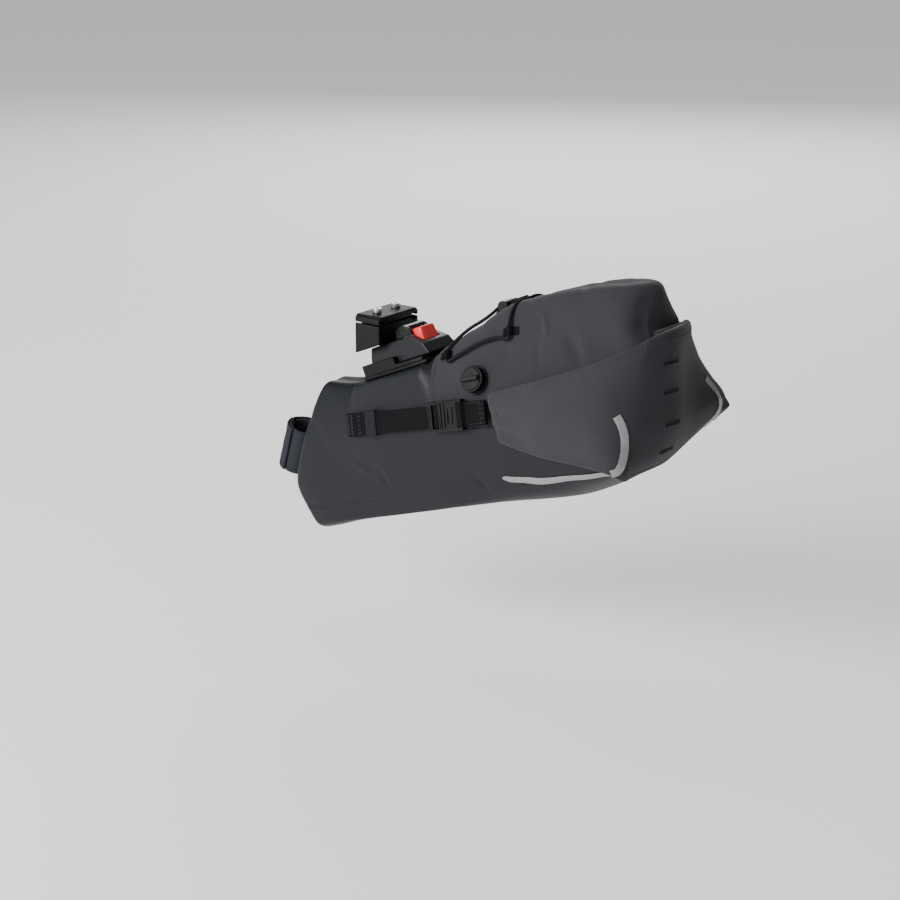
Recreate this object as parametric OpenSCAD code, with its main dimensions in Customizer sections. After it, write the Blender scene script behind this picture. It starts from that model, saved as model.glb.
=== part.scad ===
// Seat-pack: a tapered roll-closure bag that hangs behind a bicycle's seatpost.
// Frame: origin on the seatpost's axis at the middle of the post strap,
// +X to the rear, +Y to the bicycle's right, +Z up.

/* [Bag] */
// Rise of the bag's long axis towards the rear, in degrees
bag_tilt = 16; // [15.5:0.25:16.5]
// Thickness of the coated and woven shells
wall = 1.8; // [1.4:0.1:2]
// Place of the seam between the coated nose and the woven body
seam_u = 210; // [206:1:212]
// Height of the seam between the woven top and the coated belly
seam_v = 8; // [4:1:10]

/* [Seatpost] */
// Angle of the seatpost above level, in degrees
post_angle = 74.1; // [73.6:0.1:74.6]
// Radius of the seatpost
post_r = 13.6; // [13.5:0.05:13.7]
// Height of the strap around the post
post_band_h = 45; // [40:1:46]

/* [Adapter] */
// Rise of the adapter's sliding direction, in degrees
adapter_tilt = 23; // [22.8:0.1:23.2]
// Radius of the saddle's rails
rail_r = 3.5; // [3.4:0.05:3.6]
// Distance of each rail from the middle plane
rail_y = 22; // [21.5:0.25:22.5]
// Travel of the release button
button_travel = 3.5; // [3:0.25:3.5]

/* [Straps] */
// Width of the webbing
web_w = 20; // [19:0.25:20.5]
// Thickness of the webbing
web_t = 1.4; // [1.2:0.1:1.4]
// Thickness of the sewn wings and rear panel
panel_t = 1.6; // [1.2:0.1:1.6]

/* [Valve and cord] */
// Radius of the valve's knob
valve_r = 11.5; // [11:0.5:12.5]
// Radius of the elastic cord
cord_r = 1.5; // [1.3:0.1:1.6]

/* [Hidden] */
$fn = 48;
gap = 0.1;
big = 900;

// Colours
coated = [0.20, 0.22, 0.24];
woven = [0.24, 0.24, 0.26];
panel_grey = [0.31, 0.31, 0.33];
webbing_black = [0.08, 0.08, 0.09];
moulded_black = [0.05, 0.05, 0.06];
moulded_grey = [0.28, 0.30, 0.32];
release_red = [0.80, 0.08, 0.07];
steel = [0.65, 0.66, 0.68];
reflective = [0.78, 0.79, 0.80];
foam_black = [0.12, 0.12, 0.13];

// ---------------------------------------------------------------- bag shape
// Cross-sections along the bag's long axis. Each row: distance u along the axis,
// height of the crown, shoulder (half width, height), side, lower edge, floor.
SECTIONS = [
    [4, 60, 17, 56, 27.5, 12, 26, -54, 19, -76],
    [30, 56, 19, 53.5, 30, 12, 29, -56, 21, -74.5],
    [60, 54, 21, 52.5, 32, 12, 31, -57, 23, -72],
    [110, 56, 24, 54, 37.5, 14, 34.5, -57, 25, -69.5],
    [160, 60.5, 27, 58, 43.2, 15, 39, -56, 27, -67],
    [196, 64.5, 28, 61, 47, 15, 43, -54, 28, -65.5],
    [218, 76, 28, 68, 49, 14, 45, -52, 29, -65],
    [260, 89, 28, 80, 53, 12, 50, -48, 30, -64],
    [300, 101, 27, 90, 56.5, 7, 55, -44, 31, -64],
    [350, 104, 27, 94, 62, 2, 60.5, -42, 31, -62],
    [400, 105, 27, 96, 66, 0, 66, -35, 36, -46],
    [418, 104, 26, 94, 65, 12, 66, -18, 44, -22],
    [430, 101, 22, 90, 52, 34, 50, 12, 40, 6],
    [438, 93, 12, 83, 25, 66, 24, 60, 20, 58]
];
NOSE_U = SECTIONS[0][0];
END_U = 438;
NOSE_KINK_V = -32;
NOSE_ROUND = 6;
NOSE_FADE = 170;
TOE_SLOPE = 0.35;
RING_STEPS = 4;

function cubic(a, b, ma, mb, t) =
    a * (2 * t * t * t - 3 * t * t + 1) + ma * (t * t * t - 2 * t * t + t)
    + b * (3 * t * t - 2 * t * t * t) + mb * (t * t * t - t * t);

function section_index(u, i = 0) =
    (i >= len(SECTIONS) - 2 || u < SECTIONS[i + 1][0]) ? i : section_index(u, i + 1);

// Value of column k of SECTIONS at u, on a smooth curve through the rows
function section_value(u, k) =
    let (i = section_index(u),
         p = SECTIONS[max(i - 1, 0)],
         a = SECTIONS[i],
         b = SECTIONS[i + 1],
         q = SECTIONS[min(i + 2, len(SECTIONS) - 1)],
         step = b[0] - a[0],
         ma = (b[k] - p[k]) / (b[0] - p[0]) * step,
         mb = (q[k] - a[k]) / (q[0] - a[0]) * step)
    cubic(a[k], b[k], ma, mb, (u - a[0]) / step);

function section_corners(u) =
    let (s = [for (k = [0:9]) section_value(u, k)])
    [[0, s[1]], [s[2], s[3]], [s[4], s[5]], [s[6], s[7]], [s[8], s[9]],
     [-s[8], s[9]], [-s[6], s[7]], [-s[4], s[5]], [-s[2], s[3]]];

// Closed smooth outline through the corners
function outline(c, steps) =
    let (n = len(c))
    [for (i = [0:n - 1], j = [0:steps - 1])
        let (p = c[(i + n - 1) % n], a = c[i], b = c[(i + 1) % n], q = c[(i + 2) % n])
        cubic(a, b, (b - p) / 2, (q - a) / 2, j / steps)];

// The nose leans back along the seatpost, then tucks under at the toe
function nose_lean(v) =
    v > NOSE_KINK_V ? 0.6215 * (v - NOSE_KINK_V) : TOE_SLOPE * (NOSE_KINK_V - v);

function nose_fade(u) =
    u >= NOSE_U + NOSE_FADE ? 0 : 0.5 + 0.5 * cos(180 * (u - NOSE_U) / NOSE_FADE);

function nose_inset(u) =
    let (d = min(u - NOSE_U, NOSE_ROUND))
    0.6 * (NOSE_ROUND - sqrt(NOSE_ROUND * NOSE_ROUND - (NOSE_ROUND - d) * (NOSE_ROUND - d)));

// One ring of points round the bag at u, drawn in by inset
function ring(u, inset) =
    let (c = section_corners(u),
         half_w = c[2][0],
         mid_v = (c[0][1] + c[4][1]) / 2,
         half_v = (c[0][1] - c[4][1]) / 2,
         draw = inset + nose_inset(u),
         k_w = 1 - draw / half_w,
         k_v = 1 - draw / half_v)
    [for (p = outline(c, RING_STEPS))
        let (v = mid_v + (p[1] - mid_v) * k_v)
        [u + nose_lean(v) * nose_fade(u), p[0] * k_w, v]];

// A cap's middle point, at the height where the nose's lean changes
function mid_point(r) =
    let (low = [for (p = r) if (p[2] == min([for (q = r) q[2]])) p][0],
         kinks = [for (p = r) if (abs(p[2] - NOSE_KINK_V) < 12) p])
    len(kinks) > 0 && low[0] < 60
        ? [min([for (p = r) p[0]]), 0, NOSE_KINK_V]
        : [r[0][0], 0, (r[0][2] + low[2]) / 2];

// Solid loft of rings, closed at both ends
module loft(us, inset) {
    rings = [for (u = us) ring(u, inset)];
    n = len(rings[0]);
    m = len(rings);
    points = concat([for (r = rings) each r], [mid_point(rings[0]), mid_point(rings[m - 1])]);
    sides = [for (i = [0:m - 2], j = [0:n - 1])
        let (a = i * n + j, b = i * n + (j + 1) % n)
        each [[a, b, a + n], [b, b + n, a + n]]];
    front_cap = [for (j = [0:n - 1]) [(j + 1) % n, j, m * n]];
    rear_cap = [for (j = [0:n - 1]) [(m - 1) * n + j, (m - 1) * n + (j + 1) % n, m * n + 1]];
    polyhedron(points, concat(sides, front_cap, rear_cap), convexity = 6);
}

FRONT_US = [4, 5, 7, 10, 18, 30, 60, 85, 110, 135, 160, 178, 196, 204, seam_u];
REAR_US = [seam_u + gap, 218, 232, 246, 260, 280, 300, 325, 350, 375, 400, 410, 418, 425, 430, 434, END_U];

module in_bag() {
    rotate([0, -bag_tilt, 0]) children();
}

// Draws for the right side, or mirrors for the left
module on_side(side) {
    if (side > 0) children();
    else mirror([0, 1, 0]) children();
}

// ------------------------------------------------------------ flat strokes
function unit(p) = p / norm(p);
function normal_of(a, b) = let (d = unit(b - a)) [-d[1], d[0]];
function corner_normal(pts, i) =
    let (n = len(pts),
         before = i > 0 ? normal_of(pts[i - 1], pts[i]) : normal_of(pts[0], pts[1]),
         after = i < n - 1 ? normal_of(pts[i], pts[i + 1]) : normal_of(pts[n - 2], pts[n - 1]),
         m = unit(before + after))
    m / (m * before);

// Outline of a band of thickness t along a line of points
function stroke(pts, t) =
    let (n = len(pts))
    concat([for (i = [0:n - 1]) pts[i] + corner_normal(pts, i) * t / 2],
           [for (i = [n - 1:-1:0]) pts[i] - corner_normal(pts, i) * t / 2]);

// Box given by its two far corners
module block(low, high) {
    translate(low) cube(high - low);
}

// ------------------------------------------------------------------ shells
LOCK_U = 281;
LOCK_V = 102.2;
ROLL_U = 437.6;
ROLL_V = 50;
ROLL_LEAN = 13;
ROLL_HALF_W = 21;
MOUTH_HALF_W = 21.4;
VALVE_U = 266;
VALVE_W = 43.6;
VALVE_V = 47;
VALVE_LIFT = 20;
VALVE_TURN = 4;
VALVE_NECK_R = 9;

module in_valve() {
    in_bag()
        translate([VALVE_U, -VALVE_W, VALVE_V])
        rotate([0, 0, -90 + VALVE_TURN])
        rotate([0, 90 - VALVE_LIFT, 0])
        children();
}

module front_shell() {
    color(coated)
    difference() {
        in_bag() loft(FRONT_US, 0);
        in_bag() loft([for (u = FRONT_US) u < 18 ? u + wall : u == seam_u ? seam_u + 0.5 : u], wall);
        in_adapter() screw_places() cylinder(r = SCREW_R + 0.2, h = 30, center = true);
        // Flat seat for the adapter's base plate
        in_adapter() block([-1, -32, -0.1], [BASE_LEN + 1, 32, 12]);
    }
}

module rear_skin() {
    difference() {
        loft(REAR_US, 0);
        loft([for (u = REAR_US) u == END_U ? END_U - wall : u < seam_u + 1 ? seam_u - 0.5 : u], wall);
    }
}

module upper_shell() {
    color(woven)
    difference() {
        in_bag() intersection() {
            rear_skin();
            block([0, -big, seam_v + gap], [big, big, big]);
        }
        // Mouth
        in_bag() block([ROLL_U - 8, -MOUTH_HALF_W, ROLL_V - 17.4], [END_U + 10, MOUTH_HALF_W, ROLL_V + 17.4]);
        in_valve() cylinder(r = VALVE_NECK_R + 0.2, h = 40, center = true);
    }
}

module lower_shell() {
    color(coated)
    in_bag() intersection() {
        rear_skin();
        block([0, -big, -big], [big, big, seam_v]);
    }
}

module nose_board() {
    color(foam_black)
    in_post()
        translate([24.4, 0, 10])
        cube([1.6, 28, 50], center = true);
}

module floor_board() {
    color(foam_black)
    in_bag() block([60, -19, -61.8], [330, 19, -60.2]);
}

// Mouth of the bag, folded flat and rolled up on itself against the rear
ROLL_TURNS = 2;
ROLL_FABRIC = 1.4;
ROLL_STEP = 1.8;
ROLL_CORE = 22;

// Half a flat loop: out along one face and round its end
function roll_loop(i) =
    let (r = ROLL_FABRIC + i * ROLL_STEP / 2, s = i % 2 == 0 ? 1 : -1)
    [for (a = [-90:30:90]) [s * r * sin(a) , s * (ROLL_CORE / 2 + r * cos(a))]];

module in_roll() {
    in_bag() translate([ROLL_U, 0, ROLL_V]) rotate([0, ROLL_LEAN, 0]) children();
}

module roll_closure() {
    spiral = [for (i = [0:2 * ROLL_TURNS - 1]) each roll_loop(i)];
    color(woven)
    in_roll()
        translate([0, ROLL_HALF_W, 0])
        rotate([90, 0, 0])
        linear_extrude(2 * ROLL_HALF_W)
        polygon(stroke(spiral, ROLL_FABRIC));
}

module closure_stiffener() {
    color(foam_black)
    in_roll() block([-0.5, -ROLL_HALF_W + 2, -9], [0.5, ROLL_HALF_W - 2, 9]);
}

// --------------------------------------------------------- rear panel, wings
// A sheet of fabric of thickness t over a grid of points, grown outwards by its normals
function sheet_normal(g, i, j) =
    let (m = len(g), n = len(g[0]),
         di = g[min(i + 1, m - 1)][j] - g[max(i - 1, 0)][j],
         dj = g[i][min(j + 1, n - 1)] - g[i][max(j - 1, 0)])
    unit(cross(di, dj));

module sheet(g, t) {
    m = len(g);
    n = len(g[0]);
    k = m * n;
    inner = [for (row = g) each row];
    outer = [for (i = [0:m - 1], j = [0:n - 1]) g[i][j] + t * sheet_normal(g, i, j)];
    function two(a, b, c, d) = [[a, b, c], [a, c, d]];
    under = [for (i = [0:m - 2], j = [0:n - 2])
        let (a = i * n + j) each two(a, a + n, a + n + 1, a + 1)];
    over = [for (i = [0:m - 2], j = [0:n - 2])
        let (a = k + i * n + j) each two(a, a + 1, a + n + 1, a + n)];
    first_row = [for (j = [0:n - 2]) each two(j, j + 1, k + j + 1, k + j)];
    last_row = [for (j = [0:n - 2])
        let (a = (m - 1) * n + j) each two(a, k + a, k + a + 1, a + 1)];
    first_col = [for (i = [0:m - 2])
        let (a = i * n) each two(a, k + a, k + a + n, a + n)];
    last_col = [for (i = [0:m - 2])
        let (a = i * n + n - 1) each two(a, a + n, k + a + n, k + a)];
    polyhedron(concat(inner, outer), concat(under, over, first_row, last_row, first_col, last_col),
               convexity = 6);
}

// Rear panel: rows from bottom to top, each [v, u in the middle, u at the corner, half width]
PANEL_ROWS = [
    [-46, 407, 409, 68],
    [-36, 416, 416, 75],
    [-14, 429, 423.5, 76],
    [8, 436, 427, 71],
    [30, 440.5, 428.5, 62],
    [48, 444.8, 431, 52],
    [60, 446.3, 434, 42]
];
PANEL_STEPS = 10;

function panel_point(row, s, t) =
    [row[2] + (row[1] - row[2]) * (1 - s * s) + t, row[3] * s, row[0]];

// Slots in the rear panel that a lamp's clip hooks into
SLOT_W = 16;
SLOT_H = 2.4;
SLOT_VS = [38, 13, -11, -33];

module rear_panel() {
    color(panel_grey)
    in_bag()
    difference() {
        sheet([for (r = PANEL_ROWS)
            [for (j = [-PANEL_STEPS:PANEL_STEPS]) panel_point(r, -j / PANEL_STEPS, 0)]], panel_t);
        for (v = SLOT_VS)
            block([390, -SLOT_W / 2, v - SLOT_H / 2], [460, SLOT_W / 2, v + SLOT_H / 2]);
    }
}

// Wing: stations from the buckle's tab to the corner, each a row of [u, w, v] from bottom to top
WING = [
    [[291, 61.2, -5], [289, 60.4, 6], [287, 59, 16], [285.5, 57.2, 26], [284, 55, 35]],
    [[332, 66.4, -19], [331, 66.4, -2], [331, 65.6, 14], [330, 63.2, 28], [329, 60, 40]],
    [[375, 72, -29], [376, 71.8, -10], [377, 71, 10], [378, 66.8, 30], [379, 60, 46]],
    [[414, 74.4, -36], [421.5, 75.4, -14], [425, 70.4, 8], [426.5, 61.4, 30], [429, 51.4, 48]]
];

module wing(side) {
    color(panel_grey)
    in_bag() on_side(side) sheet(WING, panel_t);
}
module wing_left() { wing(-1); }
module wing_right() { wing(1); }

// Reflector: a strip up the corner of the rear panel and one along the lower edge
module reflector(side) {
    strip_t = 0.5;
    color(reflective)
    in_bag() on_side(side) {
        sheet([for (r = [for (i = [1:3]) PANEL_ROWS[i]])
            [panel_point(r, 0.98, panel_t + 0.3), panel_point(r, 0.87, panel_t + 0.3)]], strip_t);
        sheet([for (u = [290:20:410])
            let (w = section_value(u, 6), v = section_value(u, 7), grow = min(1, (u - 270) / 60))
            [[u, w + 2.7, v - 3 * grow], [u, w + 3.3, v + 4 * grow]]], strip_t);
    }
}
module reflector_left() { reflector(-1); }
module reflector_right() { reflector(1); }

// ----------------------------------------------------------------- adapter
// Adapter frame: s along the sliding direction, n away from the bag
ADAPTER_X = 97;
ADAPTER_Z = 86;
BASE_LEN = 84;
BASE_N = 7;
CHEEK_N = 14;
CHEEK_S1 = 46;
HOUSING_HALF_W = 20;
HOUSING_S0 = 14;
HOUSING_S1 = 80;
HOUSING_N = 27;
TONGUE_N0 = 17;
TONGUE_N1 = 21.5;
TONGUE_W = 14;
NECK_W = 9.5;
TONGUE_S1 = 58;
FIT = 0.3;
SCREW_R = 2;
SCREW_S = [12, 72];
SCREW_W = [15, 19];
LATCH_S0 = 24;
NOTCH_S = [48, 55];
BUTTON_S0 = 62;
BUTTON_S1 = 75;
BUTTON_HALF_W = 10.5;
BUTTON_TOP = 31;

module in_adapter() {
    translate([ADAPTER_X, 0, ADAPTER_Z])
        rotate([0, -adapter_tilt, 0])
        children();
}

module screw_places() {
    for (i = [0, 1], side = [-1, 1])
        translate([SCREW_S[i], side * SCREW_W[i], 0]) children();
}

// Tapered, stepped plate screwed to the top of the bag
module base_plate() {
    color(moulded_grey)
    in_adapter()
    difference() {
        union() {
            linear_extrude(3.5)
                polygon([[0, -21], [4, -24], [70, -31], [BASE_LEN, -27], [BASE_LEN, 27], [70, 31],
                         [4, 24], [0, 21]]);
            translate([0, 0, 3.5 - gap])
                linear_extrude(BASE_N - 3.5 + gap)
                polygon([[3, -19], [6, -22], [68, -28], [78, -24], [78, 24], [68, 28], [6, 22], [3, 19]]);
            // Cheeks that stand up round the front of the housing
            difference() {
                translate([0, 0, 3])
                    linear_extrude(CHEEK_N - 3)
                    polygon([[1, -19], [4, -23], [CHEEK_S1, -26], [CHEEK_S1, 26], [4, 23], [1, 19]]);
                block([HOUSING_S0 - 2.3, -HOUSING_HALF_W - 0.3, BASE_N], [60, HOUSING_HALF_W + 0.3, 20]);
            }
        }
        screw_places() translate([0, 0, -1]) cylinder(r = INSERT_R, h = 6.2);
        // Recess under the latch and the button's spring
        block([LATCH_S0 - 4, -8, 4], [76, 8, BASE_N + 1]);
    }
}

module housing_blank() {
    hull() {
        block([HOUSING_S0 - 2, -HOUSING_HALF_W, BASE_N + gap], [HOUSING_S1 + 4, HOUSING_HALF_W, BASE_N + 1]);
        block([HOUSING_S0, -19, BASE_N + 10], [HOUSING_S1 - 1, 19, BASE_N + 11]);
        block([HOUSING_S0 + 2, -17, HOUSING_N - 1], [HOUSING_S1 - 14, 17, HOUSING_N]);
    }
}

module release_housing() {
    color(moulded_grey)
    in_adapter()
    difference() {
        housing_blank();
        // Track for the bracket's tongue, open to the front and the top
        block([0, -TONGUE_W - FIT, TONGUE_N0 - FIT], [TONGUE_S1 + 1, TONGUE_W + FIT, TONGUE_N1 + FIT]);
        block([0, -NECK_W - FIT, TONGUE_N0], [TONGUE_S1 + 1, NECK_W + FIT, HOUSING_N + 2]);
        // Room for the latch
        block([LATCH_S0 - 4, -8, 0], [76, 8, TONGUE_N0]);
        // Well for the button
        block([BUTTON_S0 - 0.4, -BUTTON_HALF_W - 0.4, 15 - button_travel],
              [BUTTON_S1 + 0.4, BUTTON_HALF_W + 0.4, HOUSING_N + 9]);
    }
}

// Rounded hood over the end of the track, in front of the button
HOOD_S = 55;
HOOD_R = 10.5;
module latch_hood() {
    color(moulded_black)
    in_adapter()
    difference() {
        translate([HOOD_S, 0, HOUSING_N + 0.5])
            rotate([90, 0, 0])
            cylinder(r = HOOD_R, h = 28, center = true);
        block([0, -40, 0], [100, 40, HOUSING_N + gap]);
        block([BUTTON_S0 - 0.5, -BUTTON_HALF_W - 0.5, 0], [100, BUTTON_HALF_W + 0.5, 50]);
        block([0, -40, 0], [HOOD_S - HOOD_R + 2, 40, 50]);
    }
}

// Springy tongue with a tooth that stands in the bracket's notch
module latch_leaf() {
    color(moulded_black)
    in_adapter()
        translate([0, 7, 0])
        rotate([90, 0, 0])
        linear_extrude(14)
        polygon([[LATCH_S0 - 3.8, 7.2], [LATCH_S0 + 2, 7.2], [LATCH_S0 + 3, 11.6],
                 [NOTCH_S[0] - 1, 11.6], [NOTCH_S[0] + 3.4, 19.6], [NOTCH_S[1] - 0.4, 19.6],
                 [NOTCH_S[1] - 0.4, 13.4], [72, 13.4], [72, 11.6], [NOTCH_S[1] - 0.4, 9.8],
                 [LATCH_S0 + 5, 9.8], [LATCH_S0 + 4, 4.4], [LATCH_S0 - 3.8, 4.4]]);
}

module release_button() {
    color(release_red)
    in_adapter()
    difference() {
        union() {
            block([BUTTON_S0, -BUTTON_HALF_W, 17.2], [BUTTON_S1, BUTTON_HALF_W, 27]);
            hull() {
                block([BUTTON_S0, -BUTTON_HALF_W, 26.5], [BUTTON_S1, BUTTON_HALF_W, 28.5]);
                block([BUTTON_S0 + 1.5, -BUTTON_HALF_W + 1.5, 30], [BUTTON_S1 - 2, BUTTON_HALF_W - 1.5, BUTTON_TOP]);
            }
            // Foot that presses the latch
            block([BUTTON_S0 + 2, -3, 13.6], [BUTTON_S0 + 6, 3, 17.4]);
        }
        // Seat for the spring
        translate([BUTTON_S1 - 4.2, 0, 13]) cylinder(r = 3.3, h = 9);
    }
}

module button_spring() {
    coil_r = 2.4;
    wire = 0.45;
    color(steel)
    in_adapter()
        for (i = [0:5])
            translate([BUTTON_S1 - 4.2, 0, 14.1 + 1.45 * i])
            rotate_extrude()
            translate([coil_r, 0])
            circle(r = wire, $fn = 16);
}

module backing_plate() {
    color(foam_black)
    in_adapter()
    difference() {
        block([5, -23, -7.5], [79, 23, -5.5]);
        screw_places() cylinder(r = SCREW_R + 0.1, h = 30, center = true);
    }
}

INSERT_R = 2.9;
module adapter_inserts() {
    color(steel)
    in_adapter()
        screw_places()
        difference() {
            cylinder(r = INSERT_R - 0.02, h = 4.8);
            translate([0, 0, -1]) cylinder(r = SCREW_R + 0.05, h = 8);
        }
}

module adapter_screws() {
    color(steel)
    in_adapter()
        screw_places()
        translate([0, 0, -9.8])
        difference() {
            union() {
                cylinder(r = 3.8, h = 2.2);
                cylinder(r = SCREW_R, h = 14.2);
            }
            translate([0, 0, -1]) cylinder(r = 1.4, h = 2.4, $fn = 6);
        }
}

// ------------------------------------------------------------ rail bracket
RAIL_X0 = 92;
RAIL_X1 = 120;
RAIL_Z = 143;
CAP_Z = 150.5;
BOLT_X = 106;
BOLT_Y = 13.2;
BOLT_R = 2.5;
BRACKET_N = 27.6;
NECK_S1 = 34;

module rail_bores() {
    for (side = [-1, 1])
        translate([RAIL_X0 - 20, side * rail_y, RAIL_Z])
        rotate([0, 90, 0])
        cylinder(r = rail_r, h = RAIL_X1 - RAIL_X0 + 40);
}

module bolt_places() {
    for (side = [-1, 1])
        translate([BOLT_X, side * BOLT_Y, 0]) children();
}

module rail_bracket() {
    color(moulded_black)
    difference() {
        union() {
            intersection() {
                block([RAIL_X0, -28, 90], [RAIL_X1, 28, RAIL_Z - 0.6]);
                in_adapter() block([-20, -28, BRACKET_N], [120, 28, 90]);
            }
            in_adapter() {
                block([HOUSING_S0 + 6, -NECK_W, TONGUE_N0 + 1], [TONGUE_S1, NECK_W, HOUSING_N - 0.6]);
                block([HOUSING_S0 + 6, -NECK_W, TONGUE_N0 + 1], [NECK_S1, NECK_W, BRACKET_N + 2]);
                block([HOUSING_S0 + 6, -TONGUE_W, TONGUE_N0], [TONGUE_S1, TONGUE_W, TONGUE_N1]);
            }
        }
        rail_bores();
        bolt_places() cylinder(r = BOLT_R + 0.1, h = 200);
        bolt_places() translate([0, 0, RAIL_Z - 14]) cylinder(r = 4.7, h = 4.2, $fn = 6);
        // Notch for the latch's tooth
        in_adapter()
            block([NOTCH_S[0], -7.6, TONGUE_N0 - 1], [NOTCH_S[1], 7.6, 20]);
    }
}

module rail_cap() {
    color(moulded_black)
    difference() {
        translate([RAIL_X0, 0, 0])
            rotate([90, 0, 90])
            linear_extrude(RAIL_X1 - RAIL_X0)
            polygon([[-28, RAIL_Z + 0.6], [28, RAIL_Z + 0.6], [28, CAP_Z - 3], [25, CAP_Z],
                     [-25, CAP_Z], [-28, CAP_Z - 3]]);
        rail_bores();
        bolt_places() translate([0, 0, RAIL_Z]) cylinder(r = BOLT_R + 0.1, h = 20);
    }
}

module rail_bolts() {
    color(steel)
        bolt_places()
        translate([0, 0, RAIL_Z - 12])
        difference() {
            union() {
                cylinder(r = BOLT_R, h = CAP_Z - RAIL_Z + 12.5);
                translate([0, 0, CAP_Z - RAIL_Z + 12]) cylinder(r = 4.2, h = 4.5);
            }
            translate([0, 0, CAP_Z - RAIL_Z + 14]) cylinder(r = 2.3, h = 4, $fn = 6);
        }
}

module rail_nuts() {
    color(steel)
        bolt_places()
        translate([0, 0, RAIL_Z - 13.8])
        difference() {
            cylinder(r = 4.5, h = 3.8, $fn = 6);
            translate([0, 0, -1]) cylinder(r = BOLT_R + 0.05, h = 6);
        }
}

// -------------------------------------------------------------- post strap
PAD_T = 1.6;
BAND_T = 1.6;
INNER_R = post_r + PAD_T;
OVER_R = INNER_R + BAND_T + 0.2;
TIP_R = OVER_R + BAND_T;
HINGE_FAR = 30;
HINGE_TIP = 182;
TIP_END = 262;
NOSE_FACE = 20.1;

module in_post() {
    rotate([0, 90 - post_angle, 0]) children();
}

// Part of a tube round the post, between two angles measured from the rear
module arc_band(r0, r1, a0, a1, h) {
    translate([0, 0, -h / 2])
        rotate([0, 0, a0])
        rotate_extrude(angle = a1 - a0)
        translate([r0, 0])
        square([r1 - r0, h]);
}

module post_pad() {
    color(foam_black)
    in_post() arc_band(post_r, INNER_R - 0.02, -172, -4, post_band_h - 3);
}

module post_band() {
    color(coated)
    in_post() arc_band(INNER_R, INNER_R + BAND_T, -174, 14, post_band_h);
}

module far_pad() {
    color(foam_black)
    in_post() arc_band(post_r, OVER_R - 0.02, HINGE_FAR - 4, 172, post_band_h - 3);
}

module far_band() {
    color(coated)
    in_post() arc_band(OVER_R, TIP_R, HINGE_FAR, HINGE_TIP, post_band_h);
}

module band_tip() {
    color(coated)
    in_post() arc_band(OVER_R + 0.7, TIP_R + 0.3, HINGE_TIP + 1, TIP_END, post_band_h);
}

module hook_patch() {
    color(webbing_black)
    in_post() arc_band(OVER_R + 0.05, OVER_R + 0.68, HINGE_TIP + 6, TIP_END - 4, post_band_h - 6);
}

// Wedge of webbing sewn to the nose, that holds the band
module strap_anchor() {
    color(coated)
    in_post()
        translate([0, 0, -post_band_h / 2])
        difference() {
            linear_extrude(post_band_h)
                polygon([[14, -4.5], [18, -8], [NOSE_FACE, -13], [NOSE_FACE, 13], [17.8, 7.6], [14, 3.5]]);
            translate([0, 0, -1]) cylinder(r = INNER_R + BAND_T + 0.05, h = post_band_h + 2);
        }
}

// ------------------------------------------------------------- side straps
// Strap frame: p along the strap, q away from the bag, r up
STRAP_U = 97;
STRAP_W = 37;
STRAP_V = 20.5;
STRAP_YAW = 5.5;
STRAP_ROLL = 10;
HALF_WEB = web_w / 2;

module in_strap(side) {
    in_bag() on_side(side)
        translate([STRAP_U, STRAP_W, STRAP_V])
        rotate([0, 0, STRAP_YAW])
        rotate([STRAP_ROLL, 0, 0])
        children();
}

// A flat outline in the p-q plane, given height r0 to r1
module across(r0, r1) {
    translate([0, 0, r0]) linear_extrude(r1 - r0) children();
}

// One length of webbing: sewn end, round the ladder bar, and its tail
LADDER_P = 124.8;
STRAP_PATH = [[6, 2.8], [LADDER_P + 1, 2.8], [LADDER_P + 2.5, 4.6], [LADDER_P + 1, 6.3],
              [LADDER_P - 1.4, 6.3], [LADDER_P - 3.4, 4.5], [27, 4.5]];

module side_strap(side) {
    color(webbing_black)
    in_strap(side) across(-HALF_WEB, HALF_WEB) polygon(stroke(STRAP_PATH, web_t));
}
module side_strap_left() { side_strap(-1); }
module side_strap_right() { side_strap(1); }

// Square of webbing sewn over the strap's fixed end
module bartack(side) {
    color(webbing_black)
    in_strap(side) block([4, 0.9, -HALF_WEB - 0.8], [24, 2, HALF_WEB + 0.8]);
}
module bartack_left() { bartack(-1); }
module bartack_right() { bartack(1); }

module keeper(side) {
    color(webbing_black)
    in_strap(side) difference() {
        block([33, 1.2, -HALF_WEB - 1.2], [46, 6.1, HALF_WEB + 1.2]);
        block([32, 2, -HALF_WEB - 0.3], [47, 5.3, HALF_WEB + 0.3]);
    }
}
module keeper_left() { keeper(-1); }
module keeper_right() { keeper(1); }

BUCKLE_HALF_W = 13.5;
TAB_HALF = 10.8;
MALE_P0 = 116.5;
MALE_P1 = 131.5;
FEMALE_P0 = 131.8;
FEMALE_P1 = 158;

module buckle_male(side) {
    color(moulded_black)
    in_strap(side) {
        for (s = [-1, 1])
            translate([MALE_P0, 2.4, s > 0 ? HALF_WEB + 0.5 : -BUCKLE_HALF_W])
            cube([MALE_P1 - MALE_P0, 5, BUCKLE_HALF_W - HALF_WEB - 0.5]);
        // Front bar, ladder bar and body
        block([MALE_P0 + 0.8, 5.5, -HALF_WEB - 1], [MALE_P0 + 4.2, 7.4, HALF_WEB + 1]);
        block([LADDER_P - 1.3, 3.7, -HALF_WEB - 1], [LADDER_P + 0.7, 5.4, HALF_WEB + 1]);
        block([MALE_P1 - 2.6, 2.4, -HALF_WEB - 1], [MALE_P1, 7.4, HALF_WEB + 1]);
        block([MALE_P1 - 1, 3.5, -3], [148, 6.5, 3]);
    }
}
module buckle_male_left() { buckle_male(-1); }
module buckle_male_right() { buckle_male(1); }

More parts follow.
